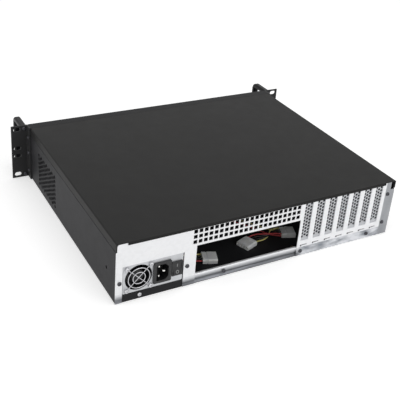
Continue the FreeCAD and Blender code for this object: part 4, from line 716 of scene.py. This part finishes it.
def cut_wells(housing):
    """Sinks a plug's contact wells and its wire openings, then rounds its edges."""
    form = bmesh.new()
    for lane in plug_lanes():
        for middle, depth, radius in WELLS:
            place = Matrix.Translation((middle * MM, lane, PLUG_HIGH / 2))
            bmesh.ops.create_cone(form, cap_ends=True, segments=WELL_SIDES,
                                  radius1=radius * MM, radius2=radius * MM, depth=depth * MM,
                                  matrix=place @ Matrix.Rotation(math.pi / 2, 4, "Y"))
    mesh = bpy.data.meshes.new("wells")
    form.to_mesh(mesh)
    form.free()
    cutter = bpy.data.objects.new("wells", mesh)
    bpy.context.collection.objects.link(cutter)
    sink = housing.modifiers.new("wells", "BOOLEAN")
    sink.operation = "DIFFERENCE"
    sink.object = cutter
    bpy.context.view_layer.update()
    evaluated = housing.evaluated_get(bpy.context.evaluated_depsgraph_get())
    shaped = bpy.data.meshes.new_from_object(evaluated)
    housing.modifiers.clear()
    housing.data = shaped
    bpy.data.objects.remove(cutter)
    soften = housing.modifiers.new("edges", "BEVEL")
    soften.width = PLUG_EDGE
    soften.segments = PLUG_EDGE_STEPS
    soften.limit_method = "ANGLE"
    soften.angle_limit = PLUG_EDGE_ANGLE


def add_plugs():
    """The white four-way plugs with their contacts."""
    plugs = {}
    for name, (across, along, way) in PLUGS.items():
        turn = Matrix.Rotation(math.radians(way), 4, "Z")
        place = Matrix.Translation((across * MM, along * MM, PLUG_FLOOR)) @ turn
        housing = piece(f"{name}_housing", build_plug, "plug_nylon")
        cut_wells(housing)
        housing.data.transform(place)

        def build(form, place=place):
            for lane in plug_lanes():
                add_contact(form, lane)
            form.transform(place)

        contacts = piece(f"{name}_contacts", build, "pin_metal")
        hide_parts(name)
        plugs[name] = (housing, contacts)
    return plugs


# ---------------------------------------------------------------- rocker marks

# The marks in millimetres: how far they stand from the rocker's middle, the bar's length, and the
# lines across the bar or about the ring with their heights over the face.
MARK_AWAY = 4.6
BAR_LONG = 4.4
BAR_STEPS = 8
BAR_SIDES = ((-0.5, -0.1), (-0.4, 0.12), (0.4, 0.12), (0.5, -0.1))
RING_STEPS = 32
RING_SIDES = ((2.2, -0.1), (2.1, 0.12), (1.5, 0.12), (1.4, -0.1))
RAY_START = 10 * MM


def add_rocker_marks():
    """The bar and ring moulded on the rocker, laid on its curved face."""
    mesh = NODES["switch_rocker"].data
    polygons = [polygon.vertices for polygon in mesh.polygons]
    face = BVHTree.FromPolygons([vertex.co for vertex in mesh.vertices], polygons)
    low, high = (Vector(corner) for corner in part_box("switch_rocker"))
    middle = (low + high) / 2

    def on_face(across, up, lift):
        """A point over the rocker's face, from its place about the middle in millimetres."""
        start = Vector((middle.x + across * MM, high.y + RAY_START, middle.z + up * MM))
        return face.ray_cast(start, Vector((0, -1, 0)))[0] + Vector((0, lift * MM, 0))

    def raised(form, loops):
        """A low raised strip through lines of points across the rocker's face."""
        rings = [[on_face(*spot, lift) for spot in loop] for loop, lift in loops]
        add_rings(form, rings, closed=False)

    def bar(form):
        steps = [(index / BAR_STEPS - 0.5) * BAR_LONG + MARK_AWAY for index in range(BAR_STEPS + 1)]
        raised(form, [([(side, step) for step in steps], lift) for side, lift in BAR_SIDES])

    def ring(form):
        loops = []
        for radius, lift in RING_SIDES:
            spots = circle_spots(radius, RING_STEPS)
            loops.append(([(across, up - MARK_AWAY) for across, up in spots + spots[:1]], lift))
        raised(form, loops)

    for name, build in (("rocker_bar", bar), ("rocker_ring", ring)):
        piece(name, build, "mark_paint", "rocker")


# ---------------------------------------------------------------- leads

# The same routes as the model's: x, y, z in millimetres, the wires' pitch there and their roll.
LEADS = {
    "supply_lead": [
        (139.9, 23.3, 27.9, 2.6, 0),
        (139.9, 12.5, 27.2, 2.5, 0),
        (139.6, -3, 20.5, 2.4, 0),
        (137.5, -17, 10.5, 2.4, 0),
        (129, -27.5, 4.5, 2.4, 0),
        (117.5, -24, 2.4, 2.4, 0),
        (112.5, -9, 2.3, 2.4, 0),
        (111.5, 12, 2.3, 2.4, 0),
        (112.5, 38, 2.3, 2.4, 0),
        (114, 66, 2.3, 2.4, 0),
        (113.5, 92, 2.3, 2.4, 0),
        (107, 112, 2.6, 2.8, 0),
        (95.5, 123.5, 3.6, 3.8, 0),
        (83.5, 129.2, 4.4, 5.08, 0),
        (72.1, 133.4, 4.5, 5.08, 0),
    ],
    "drive_lead": [
        (-13.1, 123.1, 4.5, 5.08, 180),
        (-21.7, 119.9, 4.7, 4.6, 192),
        (-32, 124, 5.8, 2.9, 235),
        (-43.5, 124.5, 7.0, 2.4, 305),
        (-54, 117.1, 6.3, 4.8, 360),
        (-63.8, 120.7, 6.2, 5.08, 360),
    ],
    "long_lead": [
        (139.9, 23.3, 24.9, 2.6, 0),
        (139.9, 14, 23, 2.5, 0),
        (139.8, 2, 12, 2.4, 0),
        (139.5, -12, 3.6, 2.4, 0),
        (138.5, -29, 2.4, 2.4, 0),
        (128, -45, 2.3, 2.4, 0),
        (106, -52, 2.3, 2.4, 0),
        (80, -43, 2.3, 2.4, 0),
        (55, -22, 2.3, 2.4, 0),
        (32, 3, 2.3, 2.4, 0),
        (10, 30, 2.3, 2.4, 0),
        (-12, 56, 2.3, 2.4, 0),
        (-30, 79, 2.3, 2.6, 0),
        (-42, 98, 2.5, 3.4, 0),
        (-53.6, 116.9, 2.9, 4.8, 0),
        (-63.8, 120.7, 2.9, 5.08, 0),
    ],
}
WIRES = {
    "yellow": "wire_yellow",
    "black_inner": "wire_black",
    "black_outer": "wire_black",
    "red": "wire_red",
}
WIRE_RADIUS = 1.0 * MM
WIRE_STEPS = 16
WIRE_ROUNDING = 4


def lead_wires(route):
    """The route of each wire of a flat lead, spread about the lead's own route, in metres."""
    middles = [Vector(point[:3]) * MM for point in route]
    routes = [[] for _ in WIRES]
    for index, (_, _, _, pitch, roll) in enumerate(route):
        heading = middles[min(index + 1, len(route) - 1)] - middles[max(index - 1, 0)]
        left = Vector((-heading.y, heading.x, 0)).normalized()
        turn = math.radians(roll)
        spread = left * math.cos(turn) + Vector((0, 0, 1)) * math.sin(turn)
        for order, points in enumerate(routes):
            points.append(middles[index] + spread * (pitch * MM * (MIDDLE_LANE - order)))
    return routes


def spline_length(points):
    """Length of the smooth line that has these control points."""
    curve = bpy.data.curves.new("ruler", "CURVE")
    lay_spline(curve, points)
    holder = bpy.data.objects.new("ruler", curve)
    line = bpy.data.meshes.new_from_object(holder)
    total = 0
    for edge in line.edges:
        first, second = (line.vertices[index].co for index in edge.vertices)
        total += (first - second).length
    bpy.data.objects.remove(holder)
    bpy.data.curves.remove(curve)
    bpy.data.meshes.remove(line)
    return total


def lay_spline(curve, points):
    """Puts one smooth spline with these control points in a curve."""
    curve.dimensions = "3D"
    curve.resolution_u = WIRE_STEPS
    spline = curve.splines.new("NURBS")
    spline.points.add(len(points) - 1)
    for control, point in zip(spline.points, points):
        control.co = (*point, 1)
    spline.order_u = 3
    spline.use_endpoint_u = True


def add_wire(name, points, finish):
    """One wire of a lead, from its connector to its plug."""
    curve = bpy.data.curves.new(name, "CURVE")
    lay_spline(curve, points)
    curve.bevel_depth = WIRE_RADIUS
    curve.bevel_resolution = WIRE_ROUNDING
    curve.use_fill_caps = True
    curve.materials.append(MATERIALS[finish])
    wire = bpy.data.objects.new(f"{name}_wire", curve)
    bpy.context.collection.objects.link(wire)
    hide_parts(name)
    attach(wire, "case")
    spline_length(points)


def add_leads(plugs):
    """Every wire of every lead."""
    for lead, route in LEADS.items():
        for (colour, finish), points in zip(WIRES.items(), lead_wires(route)):
            add_wire(f"{lead}_{colour}", points, finish)


# ---------------------------------------------------------------- the scene

set_camera()
set_world()
for soft_box in LIGHTS:
    add_light(*soft_box)
add_floor()
make_materials()
finish_nodes()
add_leads(add_plugs())
add_screws(random.Random(SCREW_SEED))
add_sill_screw()
add_rocker_marks()
